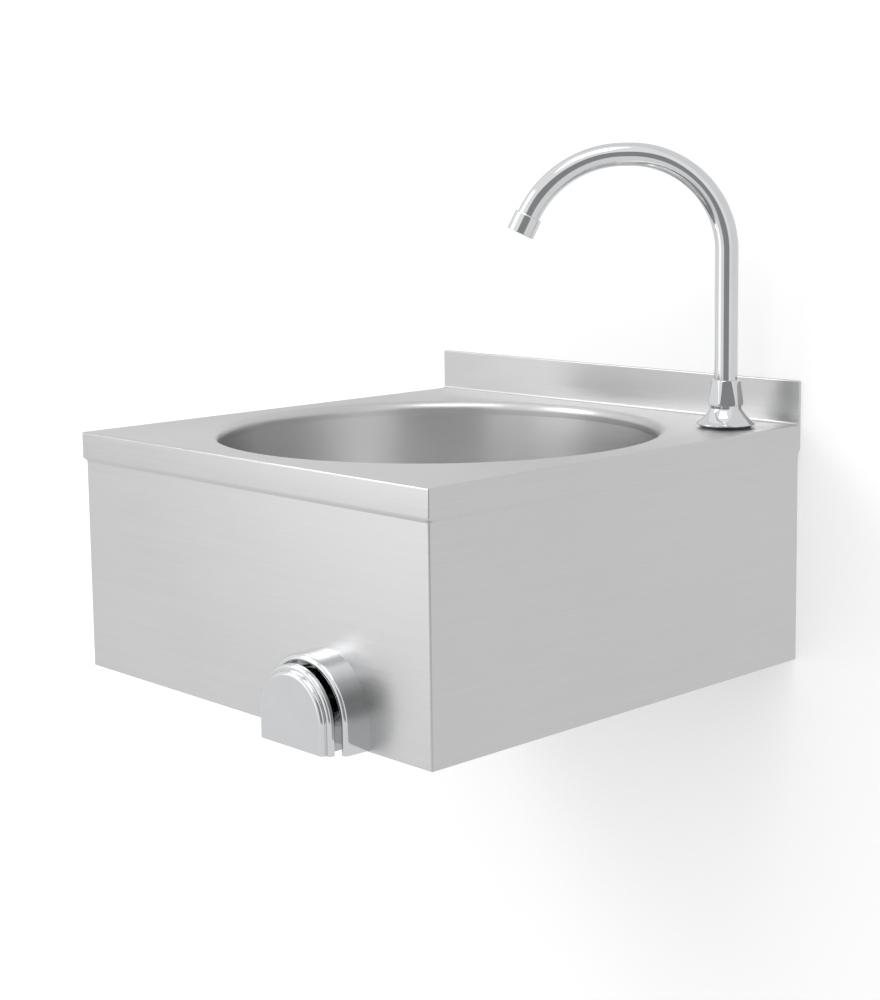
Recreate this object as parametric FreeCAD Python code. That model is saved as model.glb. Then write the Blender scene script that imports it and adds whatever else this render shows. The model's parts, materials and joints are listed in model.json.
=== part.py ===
"""Knee-operated stainless steel hand wash sink, hung on a wall.

Millimetres. +X is right, +Y goes into the wall, +Z is up. The wall is the plane Y = 0, and the
origin is the centre of the four wall bolt holes, half way up the body. The sink is a folded deck
with a drawn bowl, a folded apron round it, a swivel spout and a knee valve in the front panel.
"""
import FreeCAD, Part
import math
import os

os.makedirs("parts", exist_ok=True)
Vector = FreeCAD.Vector

cut_margin = 1.0               # how far a cutting shape stands past the face that it cuts

# ---- Body: deck, rim, splashback, bowl and apron ----
basin_width = 400.0
basin_depth = 400.0            # wall to the front of the rim
body_height = 189.0            # apron's lower edge to the deck's top
deck_sheet = 1.2
deck_bend = 1.6                # outside radius of a fold
rim_drop = 23.5                # height of the folded rim
rim_turn = 4.2                 # height of the slope that turns the rim's foot inwards
rim_overhang = 2.2             # rim's front face to the apron's front face
rim_land = 1.5                 # height of the rim's cut edge, which lies on the apron
corner_relief_radius = 1.6
splash_height = 34.8
splash_fold = 2.0              # inside radius at the foot of the splashback
bowl_land = 19.8               # flat land between the bowl's lip and the nearest edge of the deck
lip_radius = 7.0
lip_collar = 4.0               # straight collar under the lip, down to the weld
bowl_depth = 130.0             # deck to the lowest point of the floor
bowl_sheet = 1.0
bowl_draft = 10.5              # how much narrower the wall would be at the floor
bowl_heel_radius = 60.0
floor_fall = 3.0
apron_sheet = 1.0
apron_bend = 2.0
hem_bend = 0.2                 # inside radius of the fold at the apron's lower edge
apron_top_gap = 0.3
apron_return = 14.0            # width of the hem turned in at the apron's lower edge
flange_width = 30.0            # rear flanges that lie on the wall
flange_top_gap = 0.5

# ---- Wall fixing ----
wall_bolt_inset = 20.0         # bolt's axis to the side of the basin
wall_bolt_drop = 39.5          # deck to the upper bolts, and lower edge to the lower ones
wall_bolt_hole_radius = 4.5
rail_thickness = 2.0
rail_height = 30.0
rail_lip = 14.0
rail_end_inset = 5.0

# ---- Drain ----
drain_recess_radius = 34.5
drain_recess_depth = 3.5
drain_recess_slope = 1.5       # how much wider the recess is at the bowl's floor
drain_hole_radius = 24.0
recess_round = 1.6
strainer_sheet = 1.5
strainer_dish_depth = 4.0
strainer_dish_radius = 18.0
strainer_dish_slope = 3.0      # how much wider the dish is at its mouth
strainer_bend = 1.5            # inside radius of the strainer's two folds
strainer_rim_clearance = 0.8
strainer_screw_clearance = 0.2
strainer_hole_radius = 1.9
strainer_web = 1.0             # metal between neighbouring rings of holes
strainer_inner_count = 8
strainer_outer_count = 14
drain_gasket_upper = 1.0
drain_gasket_lower = 2.5
drain_gasket_inset = 0.5       # gaskets' bore is this much wider than the drain's hole
drain_rim_inset = 1.0
drain_cup_depth = 20.0
drain_wall = 2.5
drain_tail_radius = 20.955     # G 1 1/4
drain_tail_length = 20.0
drain_cone_height = 5.0
drain_screw_radius = 3.0
drain_screw_length = 28.5
drain_screw_head_radius = 5.5
drain_screw_head_height = 3.0
drain_screw_head_round = 1.0
drain_screw_slot_width = 1.4
drain_screw_slot_depth = 1.4
drain_hub_radius = 6.0
drain_hub_height = 9.0
drain_rib_width = 3.0
drain_rib_inset = 1.5          # ribs are lower than the hub by this much, above and below

# ---- Spout ----
spout_inset_side = 38.5        # spout axis to the right edge
spout_inset_wall = 44.7        # spout axis to the wall
spout_heading = 227.0          # degrees from +X, the way the spout points at rest
tube_radius = 9.0
tube_wall = 1.0
spout_top = 211.5              # deck to the highest point of the centreline
first_bend_radius = 75.0
second_bend_radius = 81.0
crown_straight = 5.0
second_bend_angle = 64.0
tube_socket = 5.0              # straight end of the tube inside the aerator
aerator_radius = 10.85
aerator_length = 15.4
aerator_bevel = 1.2
aerator_lip = 1.0
aerator_lip_width = 1.2
aerator_wall = 1.35
aerator_edge_round = 0.5
aerator_washer_height = 1.5
aerator_washer_overlap = 1.5   # how far the washer reaches over the tube's bore
aerator_hole_radius = 1.1
aerator_inner_ring = 3.4
aerator_outer_ring = 6.6
aerator_inner_count = 6
aerator_outer_count = 10
flange_height = 17.0
flange_rim_radius = 22.75
flange_foot_radius = 19.0
flange_rim_height = 2.2
flange_rim_edge = 0.9
flange_neck_radius = 12.0
flange_neck_height = 2.4
flange_wall = 1.6
flange_top_wall = 1.0
flange_collar_gap = 2.5        # hollow above the shank's collar
flange_bell_sag = 1.1
gland_height = 19.8            # tapered hexagon nut above the flange
nut_foot_radius = 13.6
nut_top_radius = 10.9
nut_foot_flat = 12.4           # axis to a flat, at the foot
nut_top_flat = 10.5
nut_foot_band = 2.2
nut_bevel = 0.8
shank_radius = 10.25
shank_collar_radius = 15.0
shank_collar_height = 3.0
shank_above_deck = 26.5
shank_below_deck = 38.0
shank_bore_radius = 8.0
shank_bore_depth = 20.0
water_way_radius = 4.0
deck_gasket_height = 1.0
deck_hole_clearance = 0.5
collar_flange_height = 2.4
collar_flange_radius = 9.95
collar_spigot = 9.0
collar_stem_end_gap = 1.0
o_ring_section_radius = 1.05
o_ring_groove_width = 2.5
o_ring_spacing = 6.5
glide_ring_height = 1.3
turning_gap = 0.05             # radial gap of a turning or sliding fit
turning_end_gap = 0.1
screwed_gap = 0.05             # radial gap of two screwed or brazed pieces
tap_washer_radius = 17.0
tap_washer_rubber = 2.0
tap_washer_steel = 1.5
backnut_flats = 27.0
backnut_height = 8.0

# ---- Pipe from the valve to the spout ----
pipe_radius = 5.0
pipe_wall = 1.0
pipe_bend_radius = 22.0
pipe_level = -10.0             # height of the level runs
pipe_side_gap = 13.8           # pipe to the side panel, where it turns back beside the bowl
pipe_insertion = 5.5
olive_radius = 6.5
olive_seat_depth = 2.5
olive_stand = 2.5              # how far the olive stands out of its seat
olive_cone = 3.7               # height of the olive's cone
olive_tip = 0.4                # width of the olive's small end
olive_gap = 0.1
union_nut_flats = 25.0
union_nut_wall = 4.0
union_nut_grip = 9.5           # thread engaged by the nut
union_thread_radius = 10.25

# ---- Knee valve, in the front panel ----
valve_x = 92.3
valve_rise = 21.3              # valve axis above the apron's lower edge
knee_travel = 8.0
base_radius = 44.0
base_draft = 1.2               # how much narrower the shroud is at its front
base_depth = 21.0
base_wall = 2.6
base_round = 3.0
base_edge_round = 0.8
base_inner_round = 0.4
base_ring_width = 5.5          # shroud's outside to its front opening
base_plate = 2.0
base_foot_gap = 1.6            # shroud's foot above the apron's lower edge
base_gasket_inset = 3.0
base_gasket_height = 0.8
base_gasket_gap = 0.2
pad_side_gap = 1.0             # pad's skirt to the shroud's opening
pad_stand = 4.5                # shroud's front to the pad's skirt edge, at rest
pad_skirt_height = 4.5
pad_tier_height = 3.5
pad_tier_step = 4.0            # skirt's outside to the tier's outside
pad_skirt_round = 2.2
pad_tier_round = 2.8
pad_edge_round = 0.4
pad_wall = 2.2
pad_foot_gap = 2.2
pad_sleeve_inset = 3.3         # skirt's outside to the sleeve's outside
pad_sleeve_wall = 1.6
pad_sleeve_gap = 2.0           # sleeve's end to the shroud's back plate, with the pad pushed in
pad_sleeve_lift = 1.8          # sleeve's foot above the pad's foot
pad_boss_radius = 9.0
pad_boss_gap = 2.1             # boss to the gland nut, with the pad pushed in
pad_overlap = 0.5              # how far the sleeve and the boss run into the pad's walls
pad_screw_radius = 2.0
pad_screw_length = 2.8
pad_screw_key = 2.0            # width of its hexagon socket
plunger_radius = 6.0
plunger_stem_radius = 3.0
neck_radius = 13.0
neck_front = 9.0               # neck's end in front of the panel
neck_bore_radius = 9.5
neck_bore_depth = 15.0
neck_hole_clearance = 0.3
panel_washer_height = 1.5
panel_washer_radius = 19.0
valve_shoulder_radius = 19.0
valve_shoulder_length = 4.0
valve_barrel_radius = 15.5
outlet_setback = 2.0           # shoulder to the outlet chamber
outlet_chamber_radius = 8.0
outlet_chamber_length = 17.0
seat_radius = 7.0
seat_width = 3.0
inlet_chamber_radius = 11.0
inlet_chamber_length = 27.0
inlet_setback = 3.0            # inlets' axis behind the middle of their chamber
valve_disc_radius = 9.5
valve_disc_height = 4.0
valve_disc_gap = 0.3
plunger_stem_end = 3.0         # stem behind the disc
plunger_round = 0.5
rear_plug_thread = 6.0
rear_plug_flats = 22.0
rear_plug_head = 5.0
rear_plug_cup = 4.0
rear_plug_cup_gap = 1.0        # cup's wall to the stem
locknut_flats = 32.0
locknut_height = 5.5
gland_flats = 24.0
gland_head = 3.6
gland_thread = 12.0
gland_groove_width = 2.8
seal_section_radius = 1.3
seal_from_end = 3.5
inlet_thread_radius = 10.48    # G 1/2
inlet_boss_radius = 13.0
inlet_boss_reach = 22.0        # valve axis to the boss's face
inlet_socket_radius = 9.0
inlet_hex_flats = 24.0
inlet_hex_length = 7.0
inlet_thread_length = 13.0
inlet_screwed_length = 7.0
inlet_bore_radius = 6.5
inlet_pocket_step = 1.5        # pocket of the check valve and filter is this much wider than the bore
inlet_screw_gap = 1.0          # nipple's end to the floor of its socket
inlet_gasket_height = 1.2
inlet_gasket_gap = 0.2
check_valve_length = 9.0
check_valve_inlet_radius = 4.5
check_valve_outlet_radius = 2.0
check_valve_cup = 3.0
check_valve_cone = 2.0
filter_depth = 5.0
filter_inset = 1.0             # filter's rim behind the nipple's mouth
filter_wall = 0.8
spring_wire_radius = 0.75
spring_mean_radius = 10.9
spring_end_pitch = 2.0
spring_end_turns = 1.0
spring_active_turns = 2.5
spring_seat_gap = 0.3

# ---- Places that follow from the sizes ----
deck_top = body_height / 2
bottom_edge = -body_height / 2
front_face = -basin_depth
half_width = basin_width / 2
panel_face = front_face + rim_overhang
apron_half = half_width - rim_overhang
splash_thickness = 2 * deck_sheet
wall_bolt_x = half_width - wall_bolt_inset
wall_bolt_z = deck_top - wall_bolt_drop
bowl_x = 0.0
bowl_y = (front_face - splash_thickness) / 2
bowl_lip_radius = min(half_width, bowl_y - front_face) - bowl_land
bowl_radius = bowl_lip_radius - lip_radius
bowl_top = deck_top - lip_radius - lip_collar
bowl_floor = deck_top - bowl_depth
recess_floor = bowl_floor - drain_recess_depth
spout_x = half_width - spout_inset_side
spout_y = -spout_inset_wall
valve_z = bottom_edge + valve_rise
deck_under = deck_top - deck_sheet
tube_bore = tube_radius - tube_wall
panel_inner = panel_face + apron_sheet
pipe_corner_x = apron_half - apron_sheet - pipe_side_gap - pipe_radius
base_front_radius = base_radius - base_draft
base_opening_radius = base_radius - base_ring_width
pad_skirt_radius = base_opening_radius - pad_side_gap
pad_tier_radius = pad_skirt_radius - pad_tier_step
pad_sleeve_radius = pad_skirt_radius - pad_sleeve_inset
pad_back_depth = base_depth + pad_stand
pad_tier_depth = pad_back_depth + pad_skirt_height
pad_front_depth = pad_tier_depth + pad_tier_height
pad_inside_depth = pad_front_depth - pad_wall
pad_sleeve_back = base_plate + knee_travel + pad_sleeve_gap
pad_boss_back = neck_front + gland_head + knee_travel + pad_boss_gap
pad_screw_depth = (pad_inside_depth + pad_boss_back) / 2


# ---- Shared shapes ----
def corner_arc(before, here, after, radius):
    """The two tangent points and the middle point of an arc that rounds a corner."""
    to_before = (before - here).normalize()
    to_after = (after - here).normalize()
    half_angle = to_before.getAngle(to_after) / 2
    reach = radius / math.tan(half_angle)
    bisector = (to_before + to_after).normalize()
    middle = here + bisector * (radius / math.sin(half_angle) - radius)
    return here + to_before * reach, middle, here + to_after * reach


def outline(corners, place):
    """Closed face through corners (a, b) or (a, b, radius); place turns (a, b) into a point."""
    flat = [Vector(corner[0], corner[1], 0) for corner in corners]
    radii = [corner[2] if len(corner) > 2 else 0 for corner in corners]
    stretches = []
    for index, here in enumerate(flat):
        if radii[index] == 0:
            stretches.append((here, None, here))
            continue
        after = flat[(index + 1) % len(flat)]
        stretches.append(corner_arc(flat[index - 1], here, after, radii[index]))
    edges = []
    for index, (start, middle, end) in enumerate(stretches):
        if middle is not None:
            arc = Part.Arc(place(start.x, start.y), place(middle.x, middle.y), place(end.x, end.y))
            edges.append(arc.toShape())
        following = stretches[(index + 1) % len(stretches)][0]
        if end.distanceToPoint(following) > 1e-6:
            edges.append(Part.makeLine(place(end.x, end.y), place(following.x, following.y)))
    return Part.Face(Part.Wire(edges))


def turned_z(corners, x, y):
    """Solid of revolution about a vertical axis; corners are (radius, height)."""
    face = outline(corners, lambda radius, height: Vector(x + radius, y, height))
    return face.revolve(Vector(x, y, 0), Vector(0, 0, 1), 360)


def turned_y(corners, x, z):
    """Solid of revolution about an axis along Y; corners are (radius, y)."""
    face = outline(corners, lambda radius, depth: Vector(x + radius, depth, z))
    return face.revolve(Vector(x, 0, z), Vector(0, 1, 0), 360)


def turned_x(corners, y, z):
    """Solid of revolution about an axis along X; corners are (radius, x)."""
    face = outline(corners, lambda radius, along: Vector(along, y + radius, z))
    return face.revolve(Vector(0, y, z), Vector(1, 0, 0), 360)


def ring(inner, outer, low, high):
    """Corners of a plain ring."""
    return [(inner, low), (outer, low), (outer, high), (inner, high)]


def block(x0, x1, y0, y1, z0, z1):
    """Box between two opposite corners."""
    return Part.makeBox(x1 - x0, y1 - y0, z1 - z0, Vector(x0, y0, z0))


def cylinder(radius, start, end):
    """Cylinder from one point to another."""
    return Part.makeCylinder(radius, start.distanceToPoint(end), start, end - start)


def hexagon(flats, start, along):
    """Hexagonal bar; along is its axis and length, and a corner lies beside the axis."""
    side = Vector(0, 0, 1)
    if abs(along.z) > 0:
        side = Vector(1, 0, 0)
    spin = FreeCAD.Rotation(along, 60)
    spoke = side * (flats / 2 / math.cos(math.radians(30)))
    points = []
    for _ in range(6):
        points.append(start + spoke)
        spoke = spin.multVec(spoke)
    return Part.Face(Part.makePolygon(points + points[:1])).extrude(along)


def rounded_path(points, radius):
    """Wire of straight runs joined by tangent arcs of one radius."""
    edges = []
    start = points[0]
    for index in range(1, len(points) - 1):
        first, middle, last = corner_arc(points[index - 1], points[index], points[index + 1], radius)
        edges.append(Part.makeLine(start, first))
        edges.append(Part.Arc(first, middle, last).toShape())
        start = last
    edges.append(Part.makeLine(start, points[-1]))
    return Part.Wire(edges)


def swept_rod(path, radius, start, heading):
    """Round rod along a path."""
    section = Part.Wire([Part.makeCircle(radius, start, heading)])
    return path.makePipeShell([section], True, False)


def one_solid(shape):
    """The shape without leftover seams between faces that lie in one surface."""
    return shape.removeSplitter()


# ---- Deck, bowl and apron ----
def folded_tray(inset, plan_bend, section_y, section_x):
    """What three prisms share: a plan with rounded front corners and two folded cross sections."""
    low = bottom_edge - cut_margin
    high = deck_top + cut_margin
    plan = outline([(-half_width + inset, front_face + inset, plan_bend),
                    (half_width - inset, front_face + inset, plan_bend),
                    (half_width - inset, 0), (-half_width + inset, 0)],
                   lambda a, b: Vector(a, b, low)).extrude(Vector(0, 0, high - low))
    lengthways = outline(section_y, lambda a, b: Vector(-half_width, a, b))
    lengthways = lengthways.extrude(Vector(basin_width, 0, 0))
    crossways = outline(section_x, lambda a, b: Vector(a, front_face, b))
    crossways = crossways.extrude(Vector(0, basin_depth, 0))
    return plan.common(lengthways).common(crossways)


def rim_sections(inset, bend, foot):
    """Cross sections of the deck's outside or inside, along Y and along X."""
    turn = deck_top - rim_drop + rim_turn
    front = front_face + inset
    side = half_width - inset
    toe = front_face + rim_overhang
    toe_side = half_width - rim_overhang
    top = deck_top - inset
    land = deck_top - rim_drop + (rim_land if inset else 0)
    section_y = [(front, top, bend), (front, turn), (toe, land)]
    section_x = [(-side, top, bend), (-side, turn), (-toe_side, land)]
    if inset:
        section_y += [(toe, foot)]
        section_x += [(-toe_side, foot)]
    section_y += [(-inset, foot), (-inset, top)]
    section_x += [(-a, b, *rest) for a, b, *rest in reversed(section_x)]
    return section_y, section_x


def make_deck():
    """Top sheet: rim folded down on three sides, hemmed splashback, lip drawn down for the bowl."""
    foot = deck_top - rim_drop
    outside = folded_tray(0, deck_bend, *rim_sections(0, deck_bend, foot))
    inside_bend = deck_bend - deck_sheet
    inside = folded_tray(deck_sheet, inside_bend,
                         *rim_sections(deck_sheet, inside_bend, foot - cut_margin))
    sheet = outside.cut(inside)
    hem_round = 0.98 * splash_thickness / 2
    fold_start = -splash_thickness - 1.5 * splash_fold
    splash_top = deck_top + splash_height
    splash = outline([(fold_start, deck_under), (fold_start, deck_top),
                      (-splash_thickness, deck_top, splash_fold),
                      (-splash_thickness, splash_top, hem_round),
                      (0, splash_top, hem_round), (0, deck_under)],
                     lambda a, b: Vector(-half_width, a, b)).extrude(Vector(basin_width, 0, 0))
    sheet = sheet.fuse(splash)
    low = deck_under - cut_margin
    high = deck_top + cut_margin
    sheet = sheet.cut(cylinder(bowl_lip_radius, Vector(bowl_x, bowl_y, low),
                               Vector(bowl_x, bowl_y, high)))
    outer_wall = bowl_radius + deck_sheet
    lip = turned_z([(bowl_lip_radius, deck_top), (bowl_radius, deck_top, lip_radius),
                    (bowl_radius, bowl_top), (outer_wall, bowl_top),
                    (outer_wall, deck_under, lip_radius - deck_sheet),
                    (bowl_lip_radius, deck_under)], bowl_x, bowl_y)
    sheet = sheet.fuse(lip)
    hole = shank_radius + deck_hole_clearance
    sheet = sheet.cut(cylinder(hole, Vector(spout_x, spout_y, low), Vector(spout_x, spout_y, high)))
    for side in (-1, 1):
        corner = Vector(side * half_width, front_face, foot + corner_relief_radius / 2)
        reach = Vector(side, -1, 0) * (2 * rim_overhang)
        sheet = sheet.cut(cylinder(corner_relief_radius, corner - reach, corner + reach))
    return one_solid(sheet)


def make_bowl():
    """Drawn bowl, butt welded under the lip's collar: steep wall, round heel, falling floor."""
    foot_radius = bowl_radius - bowl_draft
    heel_level = bowl_floor + floor_fall
    recess = drain_recess_radius
    mouth = recess + drain_recess_slope
    sheet = bowl_sheet
    return turned_z([(bowl_radius, bowl_top), (foot_radius, heel_level, bowl_heel_radius),
                     (mouth, bowl_floor, recess_round), (recess, recess_floor, recess_round),
                     (drain_hole_radius, recess_floor),
                     (drain_hole_radius, recess_floor - sheet),
                     (recess + sheet, recess_floor - sheet, recess_round),
                     (mouth + sheet, bowl_floor - sheet, recess_round),
                     (foot_radius + sheet, heel_level - sheet, bowl_heel_radius + sheet),
                     (bowl_radius + deck_sheet, bowl_top)], bowl_x, bowl_y)


def apron_sections(sheet):
    """Cross sections of the apron's outside, or with its sheet of the inside, along Y and along X."""
    bend = hem_bend + apron_sheet - sheet
    front = panel_face + sheet
    side = apron_half - sheet
    low = bottom_edge + sheet
    top = deck_under - apron_top_gap
    section_y = [(front, top), (front, low, bend), (-sheet, low), (-sheet, top)]
    section_x = [(-side, top), (-side, low, bend), (side, low, bend), (side, top)]
    return section_y, section_x


def make_apron():
    """Front and side panels folded from one sheet, hemmed below, with flanges on the wall."""
    outside = folded_tray(rim_overhang, apron_bend, *apron_sections(0))
    inside = folded_tray(rim_overhang + apron_sheet, apron_bend - apron_sheet,
                         *apron_sections(apron_sheet))
    sheet = outside.cut(inside)
    low = bottom_edge - cut_margin
    window = apron_half - apron_return
    sheet = sheet.cut(block(-window, window, panel_face + apron_return, -apron_sheet,
                            low, bottom_edge + 2 * apron_sheet))
    gap = apron_half - flange_width
    sheet = sheet.cut(block(-gap, gap, -2 * apron_sheet, cut_margin, low, deck_top))
    flange_top = deck_top - rim_drop - flange_top_gap
    sheet = sheet.cut(block(-half_width, half_width, -deck_sheet - flange_top_gap, cut_margin,
                            flange_top, deck_top))
    for x in (-wall_bolt_x, wall_bolt_x):
        for z in (-wall_bolt_z, wall_bolt_z):
            sheet = sheet.cut(wall_bolt_hole(x, z))
    hole = neck_radius + neck_hole_clearance
    sheet = sheet.cut(cylinder(hole, Vector(valve_x, panel_face - cut_margin, valve_z),
                               Vector(valve_x, panel_inner + cut_margin, valve_z)))
    return one_solid(sheet)


def wall_bolt_hole(x, z):
    """Cutting cylinder of a wall bolt, through the rear flange and the hanger rail."""
    front = -apron_sheet - rail_thickness - cut_margin
    return cylinder(wall_bolt_hole_radius, Vector(x, front, z), Vector(x, cut_margin, z))


def make_hanger_rail():
    """Angle bar across the two rear flanges, bolted to the wall with their upper holes."""
    low = wall_bolt_z - rail_height / 2
    high = wall_bolt_z + rail_height / 2
    back = -apron_sheet
    reach = apron_half - apron_sheet - rail_end_inset
    section = outline([(back, low), (back, high), (back - rail_lip, high),
                       (back - rail_lip, high - rail_thickness),
                       (back - rail_thickness, high - rail_thickness), (back - rail_thickness, low)],
                      lambda a, b: Vector(-reach, a, b))
    rail = section.extrude(Vector(2 * reach, 0, 0))
    for x in (-wall_bolt_x, wall_bolt_x):
        rail = rail.cut(wall_bolt_hole(x, wall_bolt_z))
    return rail


# ---- Drain ----
strainer_under = recess_floor + drain_gasket_upper
dish_floor = strainer_under + strainer_sheet - strainer_dish_depth
drain_rim_top = recess_floor - bowl_sheet - drain_gasket_lower
drain_rim_radius = drain_recess_radius - drain_rim_inset
drain_cup_floor = drain_rim_top - drain_cup_depth
drain_tail_end = drain_cup_floor - drain_cone_height - drain_tail_length
strainer_rim_radius = drain_recess_radius - recess_round - strainer_rim_clearance
strainer_inner_ring = drain_screw_head_radius + strainer_web + strainer_hole_radius
strainer_outer_ring = strainer_inner_ring + strainer_web + 2 * strainer_hole_radius


def make_drain_strainer():
    """Dished grid that lies in the bowl's recess, with two rings of holes round its screw."""
    top = strainer_under + strainer_sheet
    dish_under = dish_floor - strainer_sheet
    mouth = strainer_dish_radius + strainer_dish_slope
    hole = drain_screw_radius + strainer_screw_clearance
    outer_bend = strainer_bend + strainer_sheet / 2
    plate = turned_z([(hole, dish_under), (hole, dish_floor),
                      (strainer_dish_radius - strainer_sheet, dish_floor, strainer_bend),
                      (mouth - strainer_sheet, top, strainer_bend), (strainer_rim_radius, top),
                      (strainer_rim_radius, strainer_under),
                      (mouth, strainer_under, strainer_bend / 2),
                      (strainer_dish_radius, dish_under, outer_bend)], bowl_x, bowl_y)
    low = dish_under - cut_margin
    high = dish_floor + cut_margin
    for radius, count in ((strainer_inner_ring, strainer_inner_count),
                          (strainer_outer_ring, strainer_outer_count)):
        for index in range(count):
            angle = 2 * math.pi * index / count
            x = bowl_x + radius * math.cos(angle)
            y = bowl_y + radius * math.sin(angle)
            plate = plate.cut(cylinder(strainer_hole_radius, Vector(x, y, low), Vector(x, y, high)))
    return plate


def make_drain_body():
    """Cup under the bowl, drawn up to the strainer by one screw, with a threaded tail."""
    cup_inside = drain_hole_radius
    cup_outside = cup_inside + drain_wall
    tail_inside = drain_tail_radius - drain_wall
    cone_foot = drain_cup_floor - drain_cone_height
    rim_under = drain_rim_top - drain_wall
    body = turned_z([(cup_inside, drain_rim_top), (drain_rim_radius, drain_rim_top),
                     (drain_rim_radius, rim_under), (cup_outside, rim_under),
                     (cup_outside, drain_cup_floor), (drain_tail_radius, cone_foot),
                     (drain_tail_radius, drain_tail_end), (tail_inside, drain_tail_end),
                     (tail_inside, cone_foot), (cup_inside, drain_cup_floor)], bowl_x, bowl_y)
    hub_low = drain_cup_floor
    hub_high = hub_low + drain_hub_height
    middle = cup_inside + drain_wall / 2
    for angle in (0, 120, 240):
        rib = block(0, middle, -drain_rib_width / 2, drain_rib_width / 2,
                    hub_low + drain_rib_inset, hub_high - drain_rib_inset)
        rib.rotate(Vector(0, 0, 0), Vector(0, 0, 1), angle)
        rib.translate(Vector(bowl_x, bowl_y, 0))
        body = body.fuse(rib)
    body = body.fuse(cylinder(drain_hub_radius, Vector(bowl_x, bowl_y, hub_low),
                              Vector(bowl_x, bowl_y, hub_high)))
    bore = drain_screw_radius + screwed_gap
    body = body.cut(cylinder(bore, Vector(bowl_x, bowl_y, hub_low - cut_margin),
                             Vector(bowl_x, bowl_y, hub_high + cut_margin)))
    return one_solid(body)


def make_drain_screw():
    """Slotted pan-head screw from the grid into the hub of the drain body."""
    end = dish_floor - drain_screw_length
    head_top = dish_floor + drain_screw_head_height
    half_slot = drain_screw_slot_width / 2
    reach = 2 * drain_screw_head_radius
    screw = turned_z([(0, end), (drain_screw_radius, end), (drain_screw_radius, dish_floor),
                      (drain_screw_head_radius, dish_floor),
                      (drain_screw_head_radius, head_top, drain_screw_head_round), (0, head_top)],
                     bowl_x, bowl_y)
    slot = block(bowl_x - reach, bowl_x + reach, bowl_y - half_slot, bowl_y + half_slot,
                 head_top - drain_screw_slot_depth, head_top + cut_margin)
    return screw.cut(slot)


def make_drain_gaskets():
    """Seal under the grid's rim, and seal between the bowl and the drain body's rim."""
    bore = drain_hole_radius + drain_gasket_inset
    upper = turned_z(ring(bore, strainer_rim_radius, recess_floor, strainer_under), bowl_x, bowl_y)
    lower = turned_z(ring(bore, drain_rim_radius, drain_rim_top, recess_floor - bowl_sheet),
                     bowl_x, bowl_y)
    return upper, lower


# ---- Spout ----
shank_top = deck_top + shank_above_deck
shank_foot = deck_top - shank_below_deck
collar_low = shank_top + turning_end_gap
tube_foot = collar_low + collar_flange_height
nut_low = deck_top + flange_height
nut_high = nut_low + gland_height


def spout_direction():
    """Level unit vector the way the spout points."""
    angle = math.radians(spout_heading)
    return Vector(math.cos(angle), math.sin(angle), 0)


def spout_tip():
    """Where the tube leaves its second bend, and the way it points there."""
    ahead = spout_direction()
    angle = math.radians(second_bend_angle)
    crown = first_bend_radius + crown_straight
    reach = crown + second_bend_radius * math.sin(angle)
    drop = second_bend_radius * (1 - math.cos(angle))
    point = Vector(spout_x, spout_y, deck_top + spout_top - drop) + ahead * reach
    heading = ahead * math.cos(angle) - Vector(0, 0, 1) * math.sin(angle)
    return point, heading


def spout_path():
    """Centreline: straight up, two bends with a short straight between them, straight end."""
    ahead = spout_direction()
    up = Vector(0, 0, 1)
    half = math.sqrt(0.5)
    foot = Vector(spout_x, spout_y, tube_foot)
    spring_line = Vector(spout_x, spout_y, deck_top + spout_top - first_bend_radius)
    first_centre = spring_line + ahead * first_bend_radius
    first_middle = first_centre + (up - ahead) * (first_bend_radius * half)
    crown_start = first_centre + up * first_bend_radius
    crown_end = crown_start + ahead * crown_straight
    second_centre = crown_end - up * second_bend_radius
    half_turn = math.radians(second_bend_angle / 2)
    outward = ahead * math.sin(half_turn) + up * math.cos(half_turn)
    second_middle = second_centre + outward * second_bend_radius
    tip, heading = spout_tip()
    return Part.Wire([Part.makeLine(foot, spring_line),
                      Part.Arc(spring_line, first_middle, crown_start).toShape(),
                      Part.makeLine(crown_start, crown_end),
                      Part.Arc(crown_end, second_middle, tip).toShape(),
                      Part.makeLine(tip, tip + heading * tube_socket)])


def make_spout_tube():
    """Bent tube of the swivel spout."""
    path = spout_path()
    foot = Vector(spout_x, spout_y, tube_foot)
    up = Vector(0, 0, 1)
    outside = swept_rod(path, tube_radius, foot, up)
    return outside.cut(swept_rod(path, tube_bore, foot, up))


def make_spout_collar():
    """Brazed foot of the tube: spigot, retaining flange and stem with two seal grooves."""
    stem_radius = shank_bore_radius - turning_gap
    stem_low = shank_top - shank_bore_depth + collar_stem_end_gap
    groove_floor = stem_radius - 2 * o_ring_section_radius
    half_groove = o_ring_groove_width / 2
    corners = [(water_way_radius, stem_low), (stem_radius, stem_low)]
    for centre in o_ring_levels():
        corners += [(stem_radius, centre - half_groove), (groove_floor, centre - half_groove),
                    (groove_floor, centre + half_groove), (stem_radius, centre + half_groove)]
    spigot = tube_bore - screwed_gap
    corners += [(stem_radius, collar_low), (collar_flange_radius, collar_low),
                (collar_flange_radius, tube_foot), (spigot, tube_foot),
                (spigot, tube_foot + collar_spigot), (water_way_radius, tube_foot + collar_spigot)]
    return turned_z(corners, spout_x, spout_y)


def o_ring_levels():
    """Heights of the two seals on the spout's stem."""
    middle = shank_top - shank_bore_depth / 2
    return [middle - o_ring_spacing / 2, middle + o_ring_spacing / 2]


def make_spout_o_rings():
    """The two seals in the stem's grooves."""
    centre_radius = shank_bore_radius - turning_gap - o_ring_section_radius
    rings = []
    for level in o_ring_levels():
        rings.append(Part.makeTorus(centre_radius, o_ring_section_radius,
                                    Vector(spout_x, spout_y, level)))
    return Part.makeCompound(rings)


def make_glide_ring():
    """Slippery ring between the collar's flange and the nut's shoulder."""
    low = tube_foot + turning_end_gap / 2
    return turned_z(ring(tube_radius + screwed_gap, collar_flange_radius, low,
                         low + glide_ring_height), spout_x, spout_y)


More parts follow.
